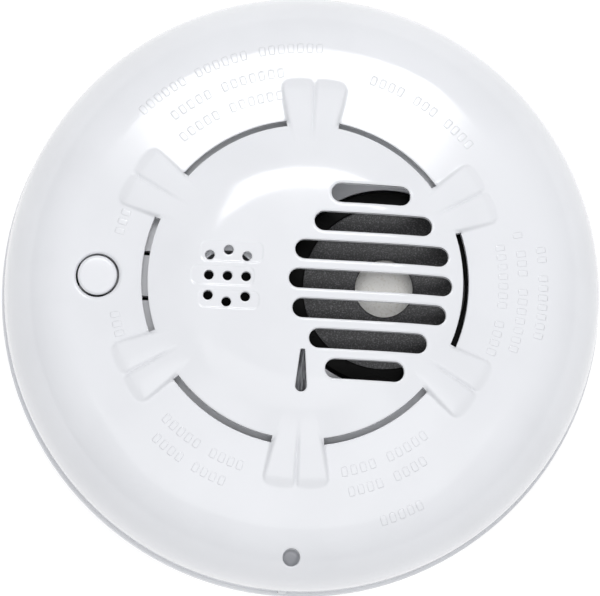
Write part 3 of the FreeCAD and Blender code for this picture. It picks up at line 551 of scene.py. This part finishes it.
def ring_points(end, spacing_at, gap):
    """Concentric rings of points from the centre to a gap short of end, spaced as spacing_at says."""
    rows = [np.zeros((1, 2))]
    s = float(spacing_at(0))
    turn = 0
    while s < end - gap:
        step = float(spacing_at(s))
        if s > SHOULDER:
            count, phase = RIM_COUNT, 0
        else:
            count = max(6, int(round(2 * math.pi * s / step)))
            phase = 0.5 * (turn % 2)
        a = (np.arange(count) + phase) * 2 * math.pi / count
        rows.append(np.stack((s * np.cos(a), s * np.sin(a)), 1))
        s += step
        turn += 1
    return np.concatenate(rows)


def bridge_lines():
    """Lines along the bridges' edges and grooves, so that the mesh follows them."""
    lines = [offset_bridge(offset) for offset in BRIDGE_OFFSETS]
    along = np.linspace(GROOVE_START, BRIDGE_END - 1.0, SIDE_STEPS)
    half = groove_half(groove_share(along))
    lines += [np.stack((along, share * half), 1) for share in GROOVE_SHARES]
    return [turned(line, BRIDGE_TURN / 2 + k * BRIDGE_TURN) for k in range(BRIDGES) for line in lines]


def offset_bridge(offset):
    """One bridge's outline at a distance outside its top edge, open towards the cap."""
    corner = BRIDGE_CORNER + offset
    slant = math.atan(BRIDGE_TAPER)
    centre_u = BRIDGE_END - BRIDGE_CORNER - BRIDGE_BULGE * CORNER_PLACE ** 2
    centre_v = bridge_half(centre_u) - BRIDGE_CORNER / math.cos(slant)
    round_part = [(centre_u + corner * math.cos(a), centre_v + corner * math.sin(a))
                  for a in np.linspace(math.pi / 2 + slant, 0, CORNER_STEPS)]
    side_u, side_v = round_part[0]
    root = BRIDGE_ZONE[0]
    run = side_u - root
    straight = [(root + run * t, side_v - BRIDGE_TAPER * run * (1 - t))
                for t in np.linspace(0, 1, SIDE_STEPS)[:-1]]
    tip_u, tip_v = round_part[-1]
    end = [(tip_u + BRIDGE_BULGE * (tip_v ** 2 - v ** 2), v) for v in np.linspace(tip_v, 0, END_STEPS)[1:]]
    half = np.array(straight + round_part + end)
    return np.concatenate((half, half[-2::-1] * (1, -1)))


def keep_clear(line, margin):
    """The stretches of a line that stay clear of every opening."""
    clear = np.ones(len(line), bool)
    for outline, lip in OPENINGS:
        clear &= signed_distance(line, outline) > lip + margin
    pieces, current = [], []
    for point, good in zip(line, clear):
        if good:
            current.append(point)
        elif current:
            pieces.append(np.array(current))
            current = []
    if current:
        pieces.append(np.array(current))
    return [p for p in pieces if len(p) > 1]


def triangulated(loops, lines, spacing_at, gap, outline):
    """Triangles of a plan with holes.

    loops are hole outlines in (x, y), lines are kept as edges, and rings of points fill the rest.
    """
    points, edges, start = [], [], 0
    shapes = [(to_plan(loop, outline), True) for loop in loops]
    shapes += [(to_plan(line, outline), False) for line in lines]
    shapes.append((ring_of(outline.end, (0, 0), RIM_COUNT), True))
    for shape, closed in shapes:
        count = len(shape)
        edges += [(start + i, start + i + 1) for i in range(count - 1)]
        if closed:
            edges.append((start + count - 1, start))
        points.append(shape)
        start += count
    fixed = np.concatenate(points)
    fill = ring_points(outline.end, spacing_at, gap)
    tree = kd_tree(fixed)
    near = np.array([tree.find((x, y, 0))[2] for x, y in fill])
    kept = fill[near > spacing_at(np.hypot(*fill.T)) * CROWDED]
    everything = np.concatenate((fixed, kept))
    made = delaunay_2d_cdt([Vector(p) for p in everything], edges, [], 0, 1e-6)
    plan = np.array([tuple(v) for v in made[0]])
    faces = np.array(made[2])
    x, y, _ = from_plan(plan[faces].mean(1), outline)
    middles = np.stack((x, y), 1)
    inside = np.zeros(len(faces), bool)
    for hole, _ in OPENINGS:
        inside |= signed_distance(middles, hole) < 0
    return plan, faces[~inside]


def spacing_outer(s):
    """Distance between the outer surface's points, finest where the bridges are."""
    fine = (s > FINE_ZONE[0]) & (s < FINE_ZONE[1])
    return np.where(fine, 0.6, np.where(s < SHOULDER, 0.95, 1.1))


def spacing_inner(s):
    return np.where(s < SHOULDER, 2.4, 2.2)


def closest(points, targets):
    """Index in points of each target."""
    tree = kd_tree(points)
    return [tree.find((x, y, 0))[1] for x, y in targets]


def cover_lines():
    """The outer surface's edges: rings round the openings, and lines along bridges and bands."""
    loops = []
    for hole, lip in OPENINGS:
        steps = WIDE_LIP_STEPS if lip > WIDE_LIP else NARROW_LIP_STEPS
        loops += [grown(hole, lip * step) for step in steps]
    lines = []
    for line in bridge_lines():
        lines += keep_clear(line, BRIDGE_MARGIN)
    for band in band_outlines():
        for share in BAND_SHARES:
            ring = grown(band, share * BAND_EDGE)
            lines += keep_clear(np.concatenate((ring, ring[:1])), BAND_MARGIN)
    return loops, lines


def build_cover():
    """The whole moulded cover: outer surface, opening walls, inner surface and foot."""
    loops, lines = cover_lines()
    plan, top_faces = triangulated(loops, lines, spacing_outer, OUTER_GAP, OUTER)
    x, y, base = from_plan(plan, OUTER)
    top = np.stack((x, y, surface_height(x, y, base)), 1)
    holes = [hole for hole, _ in OPENINGS]
    inner_plan, under_faces = triangulated(holes, [], spacing_inner, INNER_GAP, INNER)
    under = np.stack(from_plan(inner_plan, INNER), 1)

    shift = len(top)
    faces = top_faces.tolist()
    faces += [[shift + c, shift + b, shift + a] for a, b, c in under_faces.tolist()]
    for hole in holes:
        faces += wall_faces(closest(top[:, :2], hole)[::-1], closest(under[:, :2], hole)[::-1], shift)
    rim_above = closest(plan, ring_of(OUTER.end, (0, 0), RIM_COUNT))
    rim_below = closest(inner_plan, ring_of(INNER.end, (0, 0), RIM_COUNT))
    faces += wall_faces(rim_above, rim_below, shift)
    points = [tuple(p) for p in np.concatenate((top, under))]
    add_alignment_rib(points, faces)
    add_access_collar(points, faces)
    return mesh_object("front_cover_shell", points, faces)


def wall_faces(above, below, shift):
    """Faces between two closed rows of points, the lower row counted from shift."""
    faces = []
    for i in range(len(above)):
        j = (i + 1) % len(above)
        faces.append([above[i], above[j], shift + below[j], shift + below[i]])
    return faces


def add_alignment_rib(points, faces):
    """A small upright rib on the rim, which lines the alarm up with its plate."""
    middle, width, proud, top = RIB
    half = width / 2
    profile = [(-half, 0.0), (-half, proud - RIB_BEVEL), (-half + RIB_BEVEL, proud),
               (half - RIB_BEVEL, proud), (half, proud - RIB_BEVEL), (half, 0.0)]
    levels = [(COVER_FOOT, 1.0)] + [(top - down, share) for down, share in RIB_TIP]
    start = len(points)
    root = COVER_RADIUS - RIB_ROOT
    for z, share in levels:
        points += [(middle + x, -(root + (y + RIB_ROOT) * share), z) for x, y in profile]
    count = len(profile)
    last = start + (len(levels) - 1) * count
    faces += [face[::-1] for face in grid_faces(start, len(levels), count)]
    faces.append([start + i for i in range(count)][::-1])
    faces.append([last + i for i in range(count)])


def add_access_collar(points, faces):
    """The cup behind the blind access hole, its brim buried in the wall."""
    x, y, radius = ACCESS_HOLE
    start = len(points)
    outer = radius + COLLAR_WALL
    foot = COLLAR_FLOOR - COLLAR_WALL
    rings = ((radius / 2, COLLAR_FLOOR), (radius, COLLAR_FLOOR), (radius, None),
             (outer, None), (outer, foot), (radius / 2, foot))
    for ring_radius, height in rings:
        ring = ring_of(ring_radius, (x, y), ACCESS_SIDES)
        brim = INNER.place(INNER.s_of(np.hypot(*ring.T)))[1] + COLLAR_BURY
        heights = brim if height is None else np.full(ACCESS_SIDES, height)
        points += list(zip(*ring.T, heights))
    last = start + (len(rings) - 1) * ACCESS_SIDES
    faces += sleeve_faces(start, len(rings), ACCESS_SIDES)
    faces.append([start + i for i in range(ACCESS_SIDES)])
    faces.append([last + i for i in range(ACCESS_SIDES)][::-1])


cover = build_cover()
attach(cover, "alarm_head")
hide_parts("front_cover")


# ---- raised marks on the cover --------------------------------------------------------------------
MARK_HEIGHT = 0.055
MARK_BURY = 0.03
MARK_SIZE = (1.7, 2.6)
MARK_SLOPE = 0.5
MARK_ROUNDING = 0.12
MARK_PITCH = 2.35
MARK_GROUP = (3, 7)
MARK_ROWS = ((58.0, 88, 140), (52.0, 98, 131), (46.4, 99, 134), (52.6, 42, 75), (48.3, -19, 18),
             (53.2, -16, 16), (58.2, -11, 13), (46.8, 160, 168), (46.8, 191, 200), (47.2, 226, 254),
             (52.2, 228, 252), (47.0, 283, 311), (52.0, 284, 308), (60.8, 290, 303))


def raised_mark(radius, angle, points, faces):
    """One low pad that follows the cover's surface."""
    width, length = MARK_SIZE
    u, v = np.meshgrid(np.linspace(-1, 1, 7), np.linspace(-1, 1, 9))
    pull = 1 - MARK_ROUNDING * (u * v) ** 2
    r = radius + v * pull * length / 2
    a = math.radians(angle) + u * pull * width / 2 / radius
    base = OUTER.place(OUTER.s_of(r.ravel()))[1].reshape(r.shape)
    edge = np.minimum((1 - np.abs(u)) * width, (1 - np.abs(v)) * length)
    rise = smooth_step(np.clip(edge / MARK_SLOPE, 0, 1))
    z = base - MARK_BURY + (MARK_HEIGHT + MARK_BURY) * rise
    start = len(points)
    points += list(zip((r * np.cos(a)).ravel(), (r * np.sin(a)).ravel(), z.ravel()))
    faces += grid_faces(start, *u.shape)
    faces.append([start + k for k in grid_border(*u.shape)])


def build_marks():
    """Rows of plain pads, in groups, where such an alarm carries its raised wording."""
    draw = np.random.default_rng(SEED)
    fewest, most = MARK_GROUP
    points, faces = [], []
    for radius, start, end in MARK_ROWS:
        step = math.degrees(MARK_PITCH / radius)
        angle = start + step / 2
        while angle < end:
            for _ in range(int(draw.integers(fewest, most + 1))):
                if angle < end:
                    raised_mark(radius, angle, points, faces)
                angle += step
            angle += step
    return mesh_object("raised_marks", points, faces)


marks = build_marks()
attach(marks, "alarm_head")


# ---- test button and indicator lens ----------------------------------------------------------------
TURNED_SIDES = 128
WELD_DISTANCE = 1e-6
BUTTON_CROWN = 0.15
BUTTON_ROLL = 0.95
BUTTON_BEVEL = 0.2
SOCKET_RADIUS = 3.0
SOCKET_BEVEL = 0.1
SOCKET_FLOOR = 35.2
LENS_GAP = 0.08
LENS_DEPTH = 1.3
LENS_RIB_PITCH = 0.36
LENS_RIB_HEIGHT = 0.09
LENS_RIB_FADE = 6
LENS_COLUMNS = 49
LENS_LEAST_HALF = 0.02


def lathe(name, profile, centre):
    """A round piece from its closed (radius, height) outline, about an upright axis."""
    points = [(x, y, z) for r, z in profile for x, y in ring_of(r, centre, TURNED_SIDES)]
    made = mesh_object(name, points, sleeve_faces(0, len(profile), TURNED_SIDES))
    weld = made.modifiers.new("weld", "WELD")
    weld.merge_threshold = WELD_DISTANCE
    return made


def build_button():
    """Cap with a slight crown, a rolled edge and a socket for its stem."""
    foot, top = BUTTON_LOW[2], BUTTON_HIGH[2]
    flat = BUTTON_RADIUS - BUTTON_ROLL
    brim = top - BUTTON_CROWN
    profile = [(0.0, top)]
    profile += [(r, top - BUTTON_CROWN * (r / flat) ** 2) for r in np.linspace(0.4, flat, 10)]
    lean = math.atan(2 * BUTTON_CROWN / flat)
    for a in np.linspace(lean, math.pi / 2, 12)[1:]:
        out = (math.sin(a) - math.sin(lean)) / (1 - math.sin(lean))
        down = (math.cos(lean) - math.cos(a)) / math.cos(lean)
        profile.append((flat + BUTTON_ROLL * out, brim - BUTTON_ROLL * down))
    profile += [(BUTTON_RADIUS, foot + BUTTON_BEVEL), (BUTTON_RADIUS - BUTTON_BEVEL, foot),
                (SOCKET_RADIUS + SOCKET_BEVEL, foot), (SOCKET_RADIUS, foot + SOCKET_BEVEL),
                (SOCKET_RADIUS, SOCKET_FLOOR), (0.0, SOCKET_FLOOR)]
    return lathe("test_button_cap", profile, (BUTTON_X, BUTTON_Y))


button = build_button()
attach(button, "test_button")
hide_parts("test_button")


def lens_half_width(y):
    """Half the lens's width at a place along the window."""
    (y_top, w_top), (y_foot, w_foot) = WINDOW
    r = w_foot / 2
    y_arc = y_foot + r
    if y >= y_arc:
        return w_top / 2 + (r - w_top / 2) * (y_top - y) / (y_top - y_arc) - LENS_GAP
    return math.sqrt(max((r - LENS_GAP) ** 2 - (y_arc - y) ** 2, 0.0))


def build_lens():
    """Clear wedge that carries the lamps' light up to the window, its face ribbed lengthways."""
    (y_top, _), (y_foot, w_foot) = WINDOW
    y_arc = y_foot + w_foot / 2
    reach = y_arc - (y_foot + LENS_GAP)
    rows = list(np.linspace(y_top - LENS_GAP, y_arc, 26))
    rows += [y_arc - reach * math.sin(a) for a in np.linspace(0, math.pi / 2, 12)[1:]]
    across = np.linspace(-1, 1, LENS_COLUMNS)
    fade = np.clip((1 - np.abs(across)) * LENS_RIB_FADE, 0, 1)
    foot = node_box("indicator_light_pipe")[0][2]
    points = []
    for y in rows:
        half = max(lens_half_width(y), LENS_LEAST_HALF)
        face = OUTER.place(OUTER.s_of(np.hypot(across * half, y)))[1] - LENS_DEPTH
        ribs = LENS_RIB_HEIGHT * np.cos(across * half / LENS_RIB_PITCH * 2 * math.pi) * fade
        points += [(x * half, y, z) for x, z in zip(across, face + ribs)]
    border = grid_border(len(rows), LENS_COLUMNS)
    start, size = len(points), len(border)
    points += [(points[k][0], points[k][1], foot) for k in border]
    faces = grid_faces(0, len(rows), LENS_COLUMNS)
    faces += [face[::-1] for face in wall_faces(border, list(range(size)), start)]
    faces.append([start + i for i in range(size)])
    return mesh_object("indicator_lens", points, faces, smooth=False)


lens = build_lens()
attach(lens, "alarm_head")
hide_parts("indicator_light_pipe")


# ---- materials -----------------------------------------------------------------------------------
def factor_of(node):
    """A texture's plain output, which is named differently from node to node."""
    return node.outputs["Factor" if "Factor" in node.outputs else "Fac"]


class Finish:
    """A procedural material whose texture sits in the part's own space. Sizes are in millimetres."""

    def __init__(self, name, colour, roughness, metallic=0.0, specular=0.5):
        self.material = bpy.data.materials.new(name)
        self.material.use_nodes = True
        self.tree = self.material.node_tree
        self.shader = self.tree.nodes["Principled BSDF"]
        self.colour = colour
        self.roughness = roughness
        self.set("Base Color", (*colour, 1))
        self.set("Roughness", roughness)
        self.set("Metallic", metallic)
        self.set("Specular IOR Level", specular)
        self.place = self.add("ShaderNodeTexCoord").outputs["Object"]
        self.normal = None

    def set(self, socket, value):
        self.feed(self.shader.inputs[socket], value)

    def add(self, kind, properties=None, **sockets):
        node = self.tree.nodes.new(kind)
        for key, value in (properties or {}).items():
            setattr(node, key, value)
        for key, value in sockets.items():
            self.feed(node.inputs[key.replace("_", " ")], value)
        return node

    def feed(self, socket, value):
        if isinstance(value, bpy.types.NodeSocket):
            self.tree.links.new(value, socket)
        else:
            socket.default_value = value

    def stretched(self, stretch):
        if stretch is None:
            return self.place
        return self.add("ShaderNodeMapping", Vector=self.place, Scale=stretch).outputs["Vector"]

    def noise(self, size, detail=3.0, stretch=None):
        return factor_of(self.add("ShaderNodeTexNoise", Vector=self.stretched(stretch),
                                  Scale=1 / (size * MM), Detail=detail))

    def cells(self, size, feature="F1"):
        node = self.add("ShaderNodeTexVoronoi", {"feature": feature}, Vector=self.place,
                        Scale=1 / (size * MM))
        return node.outputs["Distance"]

    def bands(self, size, axis):
        """Waves of the given length along an axis."""
        return factor_of(self.add("ShaderNodeTexWave", {"bands_direction": axis}, Vector=self.place,
                                  Scale=math.pi / (10 * size * MM)))

    def along(self, axis):
        return self.add("ShaderNodeSeparateXYZ", Vector=self.place).outputs[axis]

    def combined(self, operation, *values):
        node = self.add("ShaderNodeMath", {"operation": operation})
        for socket, value in zip(node.inputs, values):
            self.feed(socket, value)
        return node.outputs["Value"]

    def spread(self, value, low, high, bottom=0.0, top=1.0):
        """Maps low..high of a varying value to bottom..top."""
        node = self.add("ShaderNodeMapRange", {"interpolation_type": "SMOOTHSTEP"}, Value=value)
        for socket, number in (("From Min", low), ("From Max", high), ("To Min", bottom), ("To Max", top)):
            node.inputs[socket].default_value = number
        return node.outputs["Result"]

    def tint(self, other, mask):
        """Colour runs to other where mask is 1."""
        node = self.add("ShaderNodeMix", {"data_type": "RGBA"})
        first, second = (socket for socket in node.inputs if socket.type == "RGBA")
        result, = (socket for socket in node.outputs if socket.type == "RGBA")
        current = self.shader.inputs["Base Color"]
        source = current.links[0].from_socket if current.links else (*self.colour, 1)
        self.feed(node.inputs["Factor"], mask)
        self.feed(first, source)
        self.feed(second, (*other, 1))
        self.feed(current, result)

    def uneven_gloss(self, size, amount):
        """Roughness wanders by amount either way."""
        low, high = self.roughness - amount, self.roughness + amount
        self.set("Roughness", self.spread(self.noise(size), 0.3, 0.7, low, high))

    def relief(self, height, depth):
        """Bump of a given depth, on top of the bumps before it."""
        node = self.add("ShaderNodeBump", Height=height, Strength=1.0, Distance=depth * MM)
        if self.normal:
            self.feed(node.inputs["Normal"], self.normal)
        self.normal = node.outputs["Normal"]
        self.set("Normal", self.normal)


def shade(colour, factor):
    return tuple(channel * factor for channel in colour)


def gloss_white(name, colour, roughness):
    """Polished moulding: faint flow waviness, fine grain and soft unevenness of gloss."""
    made = Finish(name, colour, roughness)
    made.tint(shade(colour, 0.975), made.spread(made.noise(22.0), 0.4, 0.65))
    made.uneven_gloss(14.0, 0.02)
    made.relief(made.noise(9.0, 1.0), 0.012)
    made.relief(made.noise(0.35), 0.0012)
    return made.material


def matt_moulding(name, colour, roughness, grain=0.3, depth=0.006, spots=0.9, specular=0.5):
    """Spark-eroded moulding."""
    made = Finish(name, colour, roughness, specular=specular)
    made.tint(shade(colour, spots), made.spread(made.noise(12.0), 0.42, 0.66))
    made.uneven_gloss(6.0, 0.04)
    made.relief(made.noise(grain, 4.0), depth)
    return made.material


def grainy_black():
    """The horn's plate: coarse grain, its sparkle painted into the colour as pale flecks."""
    made = Finish("horn_plate_grain", (0.028, 0.028, 0.03), 0.55)
    made.tint((0.11, 0.11, 0.115), made.spread(made.noise(0.3, 5.0), 0.5, 0.66))
    # Painted glints: pale flecks in the colour stand in for the grain's sparkle.
    made.tint((0.34, 0.34, 0.35), made.spread(made.noise(0.16, 2.0), 0.67, 0.75))
    made.relief(made.noise(0.45, 5.0), 0.09)
    made.relief(made.cells(0.6), 0.03)
    return made.material


def cream_ceramic():
    made = Finish("fired_ceramic", (0.99, 0.98, 0.95), 0.6)
    made.tint((0.86, 0.84, 0.79), made.spread(made.noise(0.5, 5.0), 0.5, 0.68))
    made.relief(made.noise(0.4, 4.0), 0.03)
    return made.material


def metal(name, colour, roughness, stretch):
    """Drawn or rolled metal, its fine lines along one axis, with a little tarnish."""
    made = Finish(name, colour, roughness, metallic=1.0)
    made.tint(shade(colour, 0.72), made.spread(made.noise(3.0, 4.0), 0.5, 0.75))
    made.uneven_gloss(2.0, 0.06)
    made.relief(made.noise(0.25, 2.0, stretch), 0.004)
    return made.material


def lamp(name, colour):
    """Tinted epoxy over a small die."""
    made = Finish(name, colour, 0.12)
    made.tint(shade(colour, 0.6), made.spread(made.noise(0.5), 0.45, 0.6))
    made.set("Transmission Weight", 0.35)
    made.relief(made.noise(0.3), 0.002)
    return made.material


def smoked_clear():
    """The indicator lens: translucent grey with moulding streaks along it."""
    made = Finish("smoked_lens", (0.34, 0.35, 0.37), 0.22)
    streaks = made.noise(0.22, 2.0, (1.0, 0.06, 0.06))
    made.tint((0.10, 0.10, 0.11), made.spread(streaks, 0.42, 0.62))
    made.set("IOR", 1.49)
    made.set("Transmission Weight", 0.35)
    made.relief(streaks, 0.03)
    return made.material


def membrane():
    made = Finish("charcoal_cloth", (0.02, 0.02, 0.02), 0.9)
    made.tint((0.05, 0.05, 0.05), made.spread(made.noise(0.12, 4.0), 0.45, 0.6))
    made.relief(made.bands(0.18, "X"), 0.02)
    made.relief(made.bands(0.18, "Y"), 0.02)
    return made.material


def solder_resist():
    """Board lacquer: copper runs show through as lighter lines, with pale ink spots."""
    made = Finish("solder_resist", (0.015, 0.13, 0.055), 0.35)
    runs = made.cells(3.4, "DISTANCE_TO_EDGE")
    made.tint((0.04, 0.25, 0.10), made.spread(runs, 0.10, 0.06))
    made.tint((0.55, 0.50, 0.34), made.spread(made.cells(5.3), 0.11, 0.08))
    made.relief(made.spread(runs, 0.10, 0.06), 0.03)
    return made.material


def chip_body(name):
    made = Finish(name, (0.022, 0.022, 0.024), 0.5)
    made.tint((0.05, 0.05, 0.052), made.spread(made.noise(0.3, 5.0), 0.45, 0.65))
    made.relief(made.noise(0.12, 3.0), 0.006)
    return made.material


def chip_ceramic():
    """Resistors: dark glaze, tinned at both ends in repeat along X."""
    made = Finish("resistor_glaze", (0.03, 0.03, 0.035), 0.4)
    made.tint((0.62, 0.61, 0.58), made.spread(made.bands(1.7, "X"), 0.55, 0.75))
    made.relief(made.noise(0.15), 0.004)
    return made.material


def capacitor_sleeve():
    """Shrunk sleeve up to the rim, bare aluminium on top."""
    top = node_box("electrolytic_capacitors")[1][2]
    made = Finish("capacitor_sleeve", (0.02, 0.03, 0.07), 0.3)
    made.tint((0.60, 0.60, 0.61), made.spread(made.along("Z"), (top - 2.3) * MM, (top - 2.1) * MM))
    made.tint((0.35, 0.38, 0.45), made.spread(made.bands(7.0, "X"), 0.9, 0.95))
    made.relief(made.noise(0.6), 0.01)
    return made.material


COIL_TURNS = 14


def winding():
    """Turns of enamelled wire, one on top of the other, with painted shade in the hollows between turns."""
    low, high = node_box("horn_boost_coil_winding")
    made = Finish("enamelled_copper", (0.60, 0.22, 0.09), 0.28, metallic=0.9)
    turns = made.bands((high[2] - low[2]) / COIL_TURNS, "Z")
    # Painted shade: the colour darkens in the hollows between the turns.
    made.tint((0.25, 0.08, 0.03), made.spread(turns, 0.35, 0.1))
    made.relief(turns, 0.12)
    return made.material


def battery_jacket():
    """Plain metal jacket: brushed grey with a dark band at the stud end."""
    end = node_box("battery_case")[0][0]
    made = Finish("battery_jacket", (0.50, 0.52, 0.55), 0.34, metallic=0.8)
    made.tint((0.03, 0.035, 0.05), made.spread(made.along("X"), (end + 13.4) * MM, (end + 13.0) * MM))
    made.uneven_gloss(3.0, 0.05)
    made.relief(made.noise(0.3, 2.0, (0.06, 1.0, 1.0)), 0.006)
    return made.material


def label_film():
    """Blank film with a thin printed frame."""
    low, high = node_box("rear_label")
    made = Finish("label_film", (0.62, 0.63, 0.65), 0.45)
    for axis, first, last in zip("XY", low, high):
        away = made.combined("ABSOLUTE", made.combined("SUBTRACT", made.along(axis), (first + last) / 2 * MM))
        line = (last - first) / 2 - 1.6
        inner_side = made.spread(away, (line - 0.35) * MM, line * MM)
        outer_side = made.spread(away, (line + 0.4) * MM, (line + 0.05) * MM)
        made.tint((0.20, 0.21, 0.23), made.combined("MULTIPLY", inner_side, outer_side))
    made.relief(made.noise(0.8), 0.01)
    return made.material


def dress(name, made):
    """Gives a CAD node one material."""
    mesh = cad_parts[name].data
    mesh.materials.clear()
    mesh.materials.append(made)


WHITE = (0.775, 0.785, 0.815)
cover_finish = gloss_white("cover_white", WHITE, 0.13)
for piece in (cover, marks):
    piece.data.materials.append(cover_finish)
button.data.materials.append(gloss_white("button_white", WHITE, 0.16))
lens.data.materials.append(smoked_clear())

dress("mounting_plate", gloss_white("plate_white", shade(WHITE, 0.99), 0.24))
housing = matt_moulding("housing_white", shade(WHITE, 0.97), 0.42)
inner = matt_moulding("carrier_white", shade(WHITE, 0.95), 0.38, 0.5, 0.004, 0.96)
tinned = metal("tinned_metal", (0.74, 0.73, 0.70), 0.3, (1.0, 1.0, 0.08))
zinc = metal("zinc_plate", (0.64, 0.65, 0.67), 0.32, (1.0, 1.0, 0.08))
moulded_black = chip_body("black_moulding")
FINISHES = {
    "back_housing": housing,
    "battery_door": housing,
    "inner_frame": inner,
    "button_lever": inner,
    "test_switch_body": moulded_black,
    "microcontroller": chip_body("epoxy_black"),
    "horn_driver_chip": chip_body("driver_black"),
    "sensor_amplifier_chip": chip_body("amplifier_black"),
    "battery_snap": moulded_black,
    "test_switch_plunger": matt_moulding("natural_nylon", (0.66, 0.64, 0.57), 0.35, 0.4, 0.004, 0.94),
    "power_led": lamp("green_lamp", (0.08, 0.55, 0.14)),
    "alarm_led": lamp("red_lamp", (0.62, 0.03, 0.02)),
    "fault_led": lamp("amber_lamp", (0.75, 0.28, 0.02)),
    "horn_housing": matt_moulding("horn_gloss_black", (0.004, 0.004, 0.004), 0.3, 2.0, 0.004, 0.8, 0.08),
    "horn_front_plate": grainy_black(),
    "horn_gasket": matt_moulding("gasket_rubber", (0.02, 0.02, 0.02), 0.8, 0.5, 0.02, 0.7),
    "piezo_plate": metal("rolled_brass", (0.72, 0.53, 0.24), 0.25, (0.06, 1.0, 1.0)),
    "piezo_ceramic": cream_ceramic(),
    "horn_contacts": tinned,
    "horn_screws": zinc,
    "co_sensor_can": metal("drawn_stainless", (0.62, 0.62, 0.63), 0.24, (1.0, 1.0, 0.06)),
    "co_sensor_cap": matt_moulding("sensor_black", (0.008, 0.008, 0.009), 0.6, 0.25, 0.01, 0.8, 0.2),
    "co_sensor_filter": membrane(),
    "co_sensor_pins": tinned,
    "circuit_board": solder_resist(),
    "electrolytic_capacitors": capacitor_sleeve(),
    "chip_resistors": chip_ceramic(),
    "horn_boost_coil_core": matt_moulding("ferrite", (0.06, 0.06, 0.066), 0.6, 0.2, 0.01, 0.7),
    "horn_boost_coil_winding": winding(),
    "battery_case": battery_jacket(),
    "battery_terminals": tinned,
    "battery_contacts": tinned,
    "assembly_screws": zinc,
    "rear_label": label_film(),
}
for node_name, finish in FINISHES.items():
    dress(node_name, finish)
for replaced in ("front_cover", "test_button", "indicator_light_pipe"):
    dress(replaced, cover_finish)


# ---- stage, light and camera ---------------------------------------------------------------------
VIEW_TILT = math.radians(6.2)
VIEW_SIDE = math.radians(1.43)
VIEW_ROLL = math.radians(2.73)
VIEW_DISTANCE = 1.0406
VIEW_LENS = 252.2
VIEW_SENSOR = 36
VIEW_AIM = Vector((-0.6, -1.74, 18.0)) * MM
LIGHT_AIM = Vector((0, 0, 35.0)) * MM
FLOOR_RADIUS = 3000.0
FLOOR_OVERLAP = 0.6
FLOOR_SIDES = 128
FLOOR_GLOW = 0.68


def make_camera():
    """Camera almost straight above the part, a little towards its foot and turned by a small roll."""
    data = bpy.data.cameras.new("camera")
    data.lens = VIEW_LENS
    data.sensor_width = VIEW_SENSOR
    data.dof.use_dof = False
    camera = bpy.data.objects.new("camera", data)
    bpy.context.scene.collection.objects.link(camera)
    away = Vector((-math.tan(VIEW_SIDE), -math.tan(VIEW_TILT), 1)).normalized()
    hint = Vector((-math.sin(VIEW_ROLL), math.cos(VIEW_ROLL), 0))
    right = hint.cross(away).normalized()
    up = away.cross(right)
    turn = Matrix((right, up, away)).transposed().to_4x4()
    camera.matrix_world = Matrix.Translation(VIEW_AIM + away * VIEW_DISTANCE) @ turn
    bpy.context.scene.camera = camera


def area_light(name, lean, turn, offset, size, power):
    """A soft light facing the part, leant from straight up towards +Y. Angles are in degrees.

    offset is the light's place to the side and its distance, before it is leant and turned.
    """
    data = bpy.data.lights.new(name, "AREA")
    data.shape = "RECTANGLE"
    data.size, data.size_y = size
    data.energy = power
    light = bpy.data.objects.new(name, data)
    bpy.context.scene.collection.objects.link(light)
    tilt = Matrix.Rotation(-math.radians(lean), 4, "X")
    spin = Matrix.Rotation(math.radians(turn), 4, "Z")
    side, distance = offset
    light.matrix_world = Matrix.Translation(LIGHT_AIM) @ tilt @ spin @ Matrix.Translation((side, 0, distance))


def studio_world(level, lobe, drift, tint):
    """White room: an even level, a broad bright lobe high up, and a steady drift across."""
    strength, lean = lobe
    world = bpy.data.worlds.new("studio")
    bpy.context.scene.world = world
    world.use_nodes = True
    tree = world.node_tree
    background = tree.nodes["Background"]
    background.inputs["Color"].default_value = (*tint, 1)
    place = tree.nodes.new("ShaderNodeTexCoord").outputs["Generated"]

    def along(direction):
        node = tree.nodes.new("ShaderNodeVectorMath")
        node.operation = "DOT_PRODUCT"
        node.inputs[1].default_value = direction
        tree.links.new(place, node.inputs[0])
        return node.outputs["Value"]

    def combine(operation, first, *others):
        node = tree.nodes.new("ShaderNodeMath")
        node.operation = operation
        tree.links.new(first, node.inputs[0])
        for socket, value in zip(node.inputs[1:], others):
            if isinstance(value, bpy.types.NodeSocket):
                tree.links.new(value, socket)
            else:
                socket.default_value = value
        return node.outputs["Value"]

    upper = combine("MAXIMUM", along((0, -math.sin(lean), math.cos(lean))), 0.0)
    bright = combine("MULTIPLY_ADD", combine("POWER", upper, 2.0), strength, level)
    tree.links.new(combine("ADD", bright, along(drift)), background.inputs["Strength"])


def make_floor():
    """Softly glowing floor with a round opening under the object, so that its back can be looked at."""
    hole = ring_of(cad_high[0] / MM - FLOOR_OVERLAP, (0, 0), FLOOR_SIDES)
    edge = ring_of(FLOOR_RADIUS, (0, 0), FLOOR_SIDES)
    points = [(x, y, 0.0) for x, y in np.concatenate((hole, edge))]
    floor = mesh_object("floor", points, sleeve_faces(0, 2, FLOOR_SIDES), smooth=False)
    made = Finish("floor_white", (0.4, 0.4, 0.4), 0.7)
    made.tint((0.39, 0.39, 0.39), made.spread(made.noise(60.0), 0.4, 0.6))
    made.set("Emission Strength", FLOOR_GLOW)
    floor.data.materials.append(made.material)


make_camera()
area_light("softbox", lean=25.7, turn=3.0, offset=(-0.003, 1.054), size=(0.616, 0.285), power=4.3)
area_light("fill", lean=-21.0, turn=3.0, offset=(0.0, 1.2), size=(1.2, 0.55), power=2.0)
studio_world(level=0.345, lobe=(0.84, math.radians(43)), drift=(0.07, 0.27, 0), tint=(0.985, 0.99, 1.0))
make_floor()
bpy.context.scene.view_settings.view_transform = "Standard"
